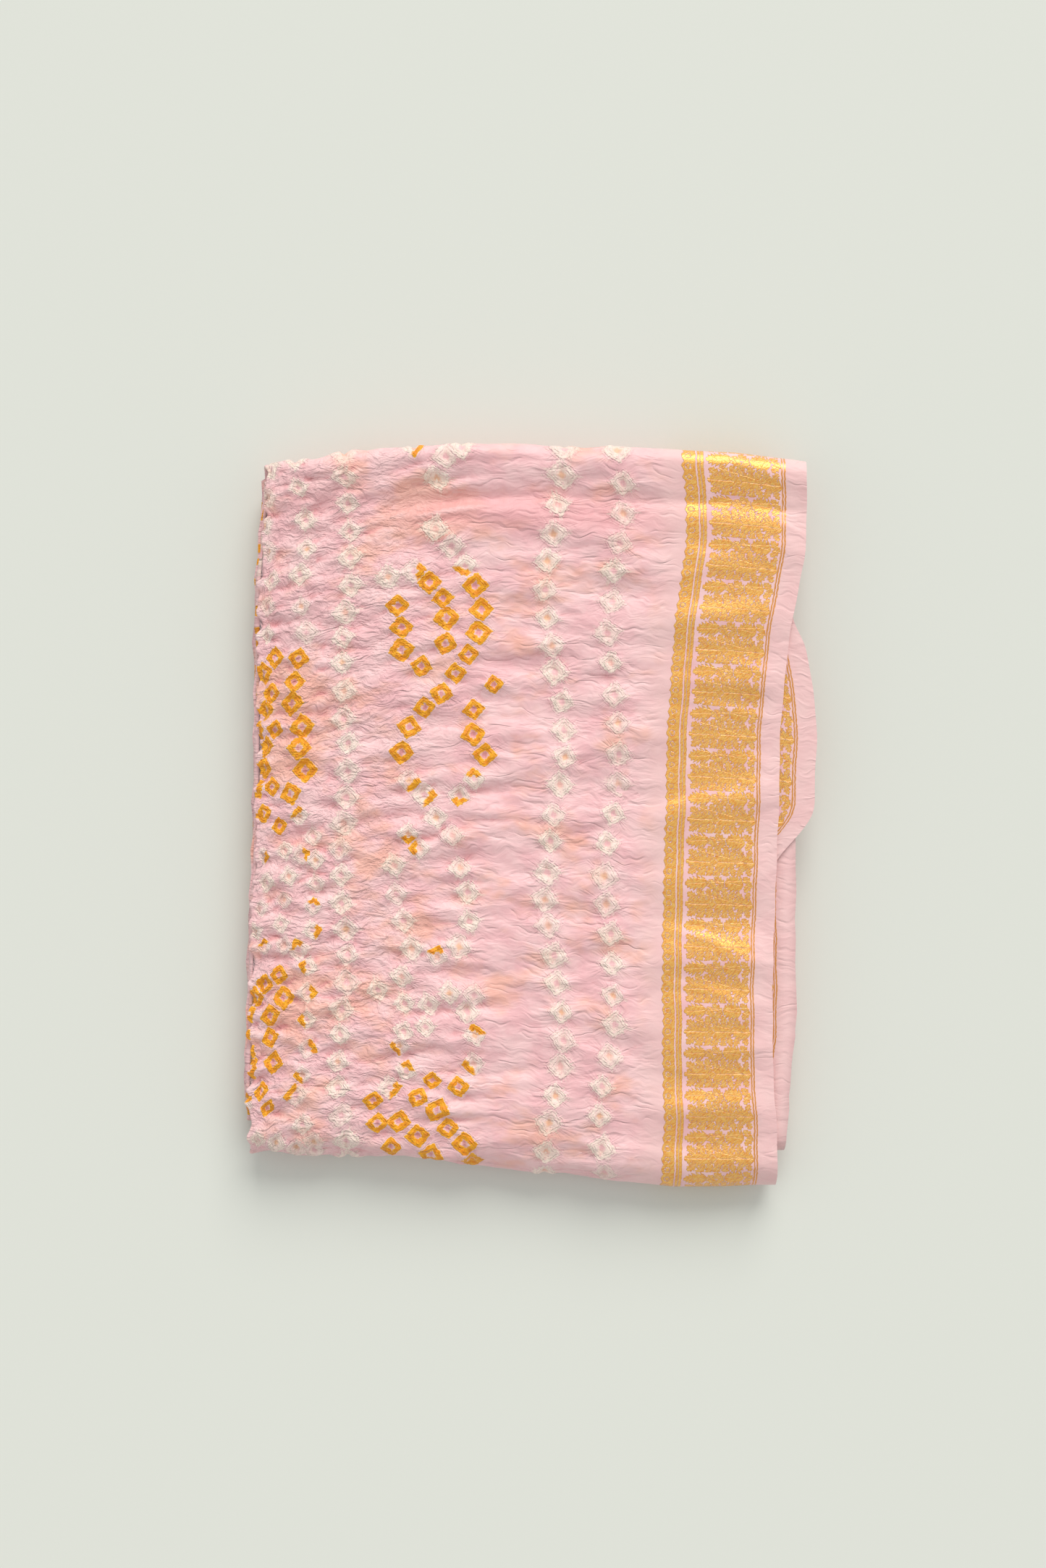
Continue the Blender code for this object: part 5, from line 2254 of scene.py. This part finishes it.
        # Painted shade in the troughs of the relief and painted highlight on its crests, read from
        # the crest measure.
        crest = graph.add("ShaderNodeAttribute", attribute_name="crest").outputs["Fac"]
        painted_trough_shade = graph.step(crest, -self.crest_start, -self.trough_depth)
        painted_trough_shade = graph.times(painted_trough_shade, self.painted_trough_shade_strength)
        pink = graph.blend(painted_trough_shade, pink, self.painted_trough_shade_pink)
        raised = graph.step(crest, self.crest_start, self.trough_depth)
        return graph.blend(graph.times(raised, self.painted_crest_highlight_strength), pink, self.painted_crest_highlight_pink)

    def stain(self, graph: Graph, place: Socket, stain: tuple[float, ...]) -> Socket:
        """A soft spot where dye ran, as a value that fades from its middle.

        Args:
            graph: Nodes of the material.
            place: Place on the flat cloth.
            stain: Middle across and along, width, length and strength.

        Returns:
            The stain's share.
        """
        across, along, wide, long, strength = stain
        away = graph.vector("SUBTRACT", place, (across, along, 0.0))
        away = graph.vector("LENGTH", graph.stretch(away, 1.0 / wide, 1.0 / long, 0.0))
        return graph.times(graph.step(away, *self.stain_fade), strength)

    def dyed(self, graph: Graph, ground: Socket, ties: bpy.types.Node) -> Socket:
        """Cream marks and orange squares over the ground.

        Args:
            graph: Nodes of the material.
            ground: The ground's colour.
            ties: Node of the tied pattern.

        Returns:
            The colour.
        """
        heart = graph.blend(ties.outputs["Stained"], self.pink, self.heart_peach)
        in_middle = graph.times(ties.outputs["Heart"], self.heart_strength)
        # The cream marks also carry the painted highlight along the front of each ring.
        marks = graph.times(ties.outputs["Cream"], self.cream_strength)
        colour = graph.blend(in_middle, ground, heart)
        colour = graph.blend(marks, colour, self.cream)
        patchy = graph.noise(ties.inputs["Place"].links[0].from_socket, *self.orange_patches)
        orange = graph.blend(graph.step(patchy, *self.orange_step), self.deep_orange, self.orange)
        rim = graph.times(ties.outputs["Rim"], self.rim_strength)
        orange = graph.blend(rim, orange, self.yellow)
        return graph.blend(ties.outputs["Orange"], colour, orange)

    def woven(self, graph: Graph, colour: Socket, border: bpy.types.Node) -> Socket:
        """The border's gold thread over the dyed silk; its strokes are painted in a lit and a shaded
        gold, the thread's grain with painted highlight and painted shade.

        Args:
            graph: Nodes of the material.
            colour: The dyed silk's colour.
            border: Node of the woven border.

        Returns:
            The colour.
        """
        # Painted highlight and painted shade on the thread's strokes, for the glint of the metal
        # thread.
        painted_light = graph.step(border.outputs["Thread"], *self.gold_step)
        gold = graph.blend(painted_light, self.deep_and_shaded_gold, self.gold)
        colour = graph.blend(border.outputs["Lines"], colour, self.line_gold)
        return graph.blend(border.outputs["Gold"], colour, gold)


@dataclass(frozen=True)
class Studio:
    """Pale floor, soft light from the back and a little from the right, and the camera."""

    floor_colour: tuple[float, ...] = dye(228, 230, 221)
    floor_rough: float = 0.6
    floor_half: float = 2.5
    world_colour: tuple[float, ...] = dye(250, 252, 252)
    world_strength: float = 0.61
    sun_height: float = 33.0
    sun_turn: float = 12.0
    sun_width: float = 36.0
    sun_strength: float = 2.15
    sun_colour: tuple[float, float, float] = (1.0, 0.985, 0.96)
    lens: float = 50.0
    film: float = 36.0
    frame_length: float = 758.45 * MM
    view_middle: tuple[float, float] = (-3.0 * MM, 15.6 * MM)
    top_height: float = 24.0 * MM

    def build(self) -> None:
        """Make the floor, the light and the camera."""
        self.make_floor()
        self.make_light()
        self.make_camera()

    def make_floor(self) -> None:
        """A plain pale floor under the cloth."""
        bm = bmesh.new()
        bmesh.ops.create_grid(bm, x_segments=1, y_segments=1, size=self.floor_half)
        mesh = bpy.data.meshes.new("studio_floor")
        bm.to_mesh(mesh)
        bm.free()
        material = bpy.data.materials.new("studio_floor_paint")
        material.use_nodes = True
        shader = material.node_tree.nodes["Principled BSDF"]
        shader.inputs["Base Color"].default_value = self.floor_colour
        shader.inputs["Roughness"].default_value = self.floor_rough
        mesh.materials.append(material)
        floor_piece = bpy.data.objects.new("studio_floor", mesh)
        bpy.context.scene.collection.objects.link(floor_piece)

    def make_light(self) -> None:
        """Soft light from the back, as a broad sun, and the pale room."""
        light = bpy.data.lights.new("window_light", "SUN")
        light.angle = radians(self.sun_width)
        light.energy = self.sun_strength
        light.color = self.sun_colour
        lamp = bpy.data.objects.new("window_light", light)
        lamp.rotation_euler = (radians(self.sun_height - 90.0), 0.0, radians(-self.sun_turn))
        bpy.context.scene.collection.objects.link(lamp)
        world = bpy.data.worlds.new("pale_room")
        world.use_nodes = True
        background = world.node_tree.nodes["Background"]
        background.inputs["Color"].default_value = self.world_colour
        background.inputs["Strength"].default_value = self.world_strength
        bpy.context.scene.world = world

    def make_camera(self) -> None:
        """A camera straight above, with the photograph's framing."""
        data = bpy.data.cameras.new("camera_above")
        data.lens = self.lens
        data.sensor_width = self.film
        camera = bpy.data.objects.new("camera_above", data)
        away = self.frame_length * self.lens / self.film
        camera.location = (*self.view_middle, self.top_height + away)
        bpy.context.scene.collection.objects.link(camera)
        bpy.context.scene.camera = camera
        bpy.context.scene.view_settings.view_transform = "Standard"


@dataclass(frozen=True)
class ClothMaker:
    """Lays the cloth in three stretches, of which the top leaf is the finest."""

    face_step: float = 1.2 * MM
    border_step: float = 2.2 * MM
    top_step: float = 1.2 * MM
    hidden_step: float = 12.0 * MM
    back_steps: int = 10
    inner_face_step: float = 7 * MM

    def build(self, finish: SilkFinish) -> list[bpy.types.Object]:
        """Args:
            finish: The silk's finish.

        Returns:
            The pieces.
        """
        stack = FoldedStack()
        cloth = FoldedCloth(stack, BandhaniChart(), CrinkledRelief())
        material = finish.material()
        rows = stack.rows(self.hidden_step, self.top_step)
        first, last = self.top_range(stack, rows)
        fine = stack.columns(self.face_step, self.border_step, self.back_steps)
        coarse = stack.columns(self.inner_face_step, self.inner_face_step, self.back_steps)
        stretches = (
            ("cloth_inner_start", coarse, rows[:first + 1], True),
            ("cloth_top_leaf", fine, rows[first:last + 1], False),
            ("cloth_lower_leaves", coarse, rows[last:], True),
        )
        pieces = []
        for name, columns, part, solid in stretches:
            piece = cloth.piece(name, columns, part, solid)
            piece.data.materials.append(material)
            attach(piece, "root")
            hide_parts(CLOTH_NODE)
            LOG.info("%s: %d columns, %d rows", name, len(columns), len(part))
            pieces.append(piece)
        return pieces

    def top_range(self, stack: FoldedStack, rows: list[Row]) -> tuple[int, int]:
        """First and last row of the top leaf with its folds.

        It starts inside the stack, a little before the roll at the back, and ends under the
        cloth, where the fold at the front has reached the lowest leaf.

        Args:
            stack: The folds.
            rows: Rows of the whole cloth.

        Returns:
            The number of the first row and of the last.
        """
        levels = [(row.level, row.lofted) for row in rows]
        top = levels.index((stack.top_level, 1.0))
        first = next(i for i in range(top, 0, -1) if rows[i].lofted == 0.0) - 1
        lowest = [i for i, row in enumerate(rows) if row.level == 0 and row.normal_z == -1.0]
        last = next(i for i in lowest if i > top)
        return first, last + 1


def main() -> None:
    """Build the studio and the cloth."""
    logging.basicConfig(level=logging.INFO, format="%(message)s")
    Studio().build()
    for piece in ClothMaker().build(SilkFinish()):
        LOG.info("built %s", piece.name)


if __name__ == "__main__":
    main()
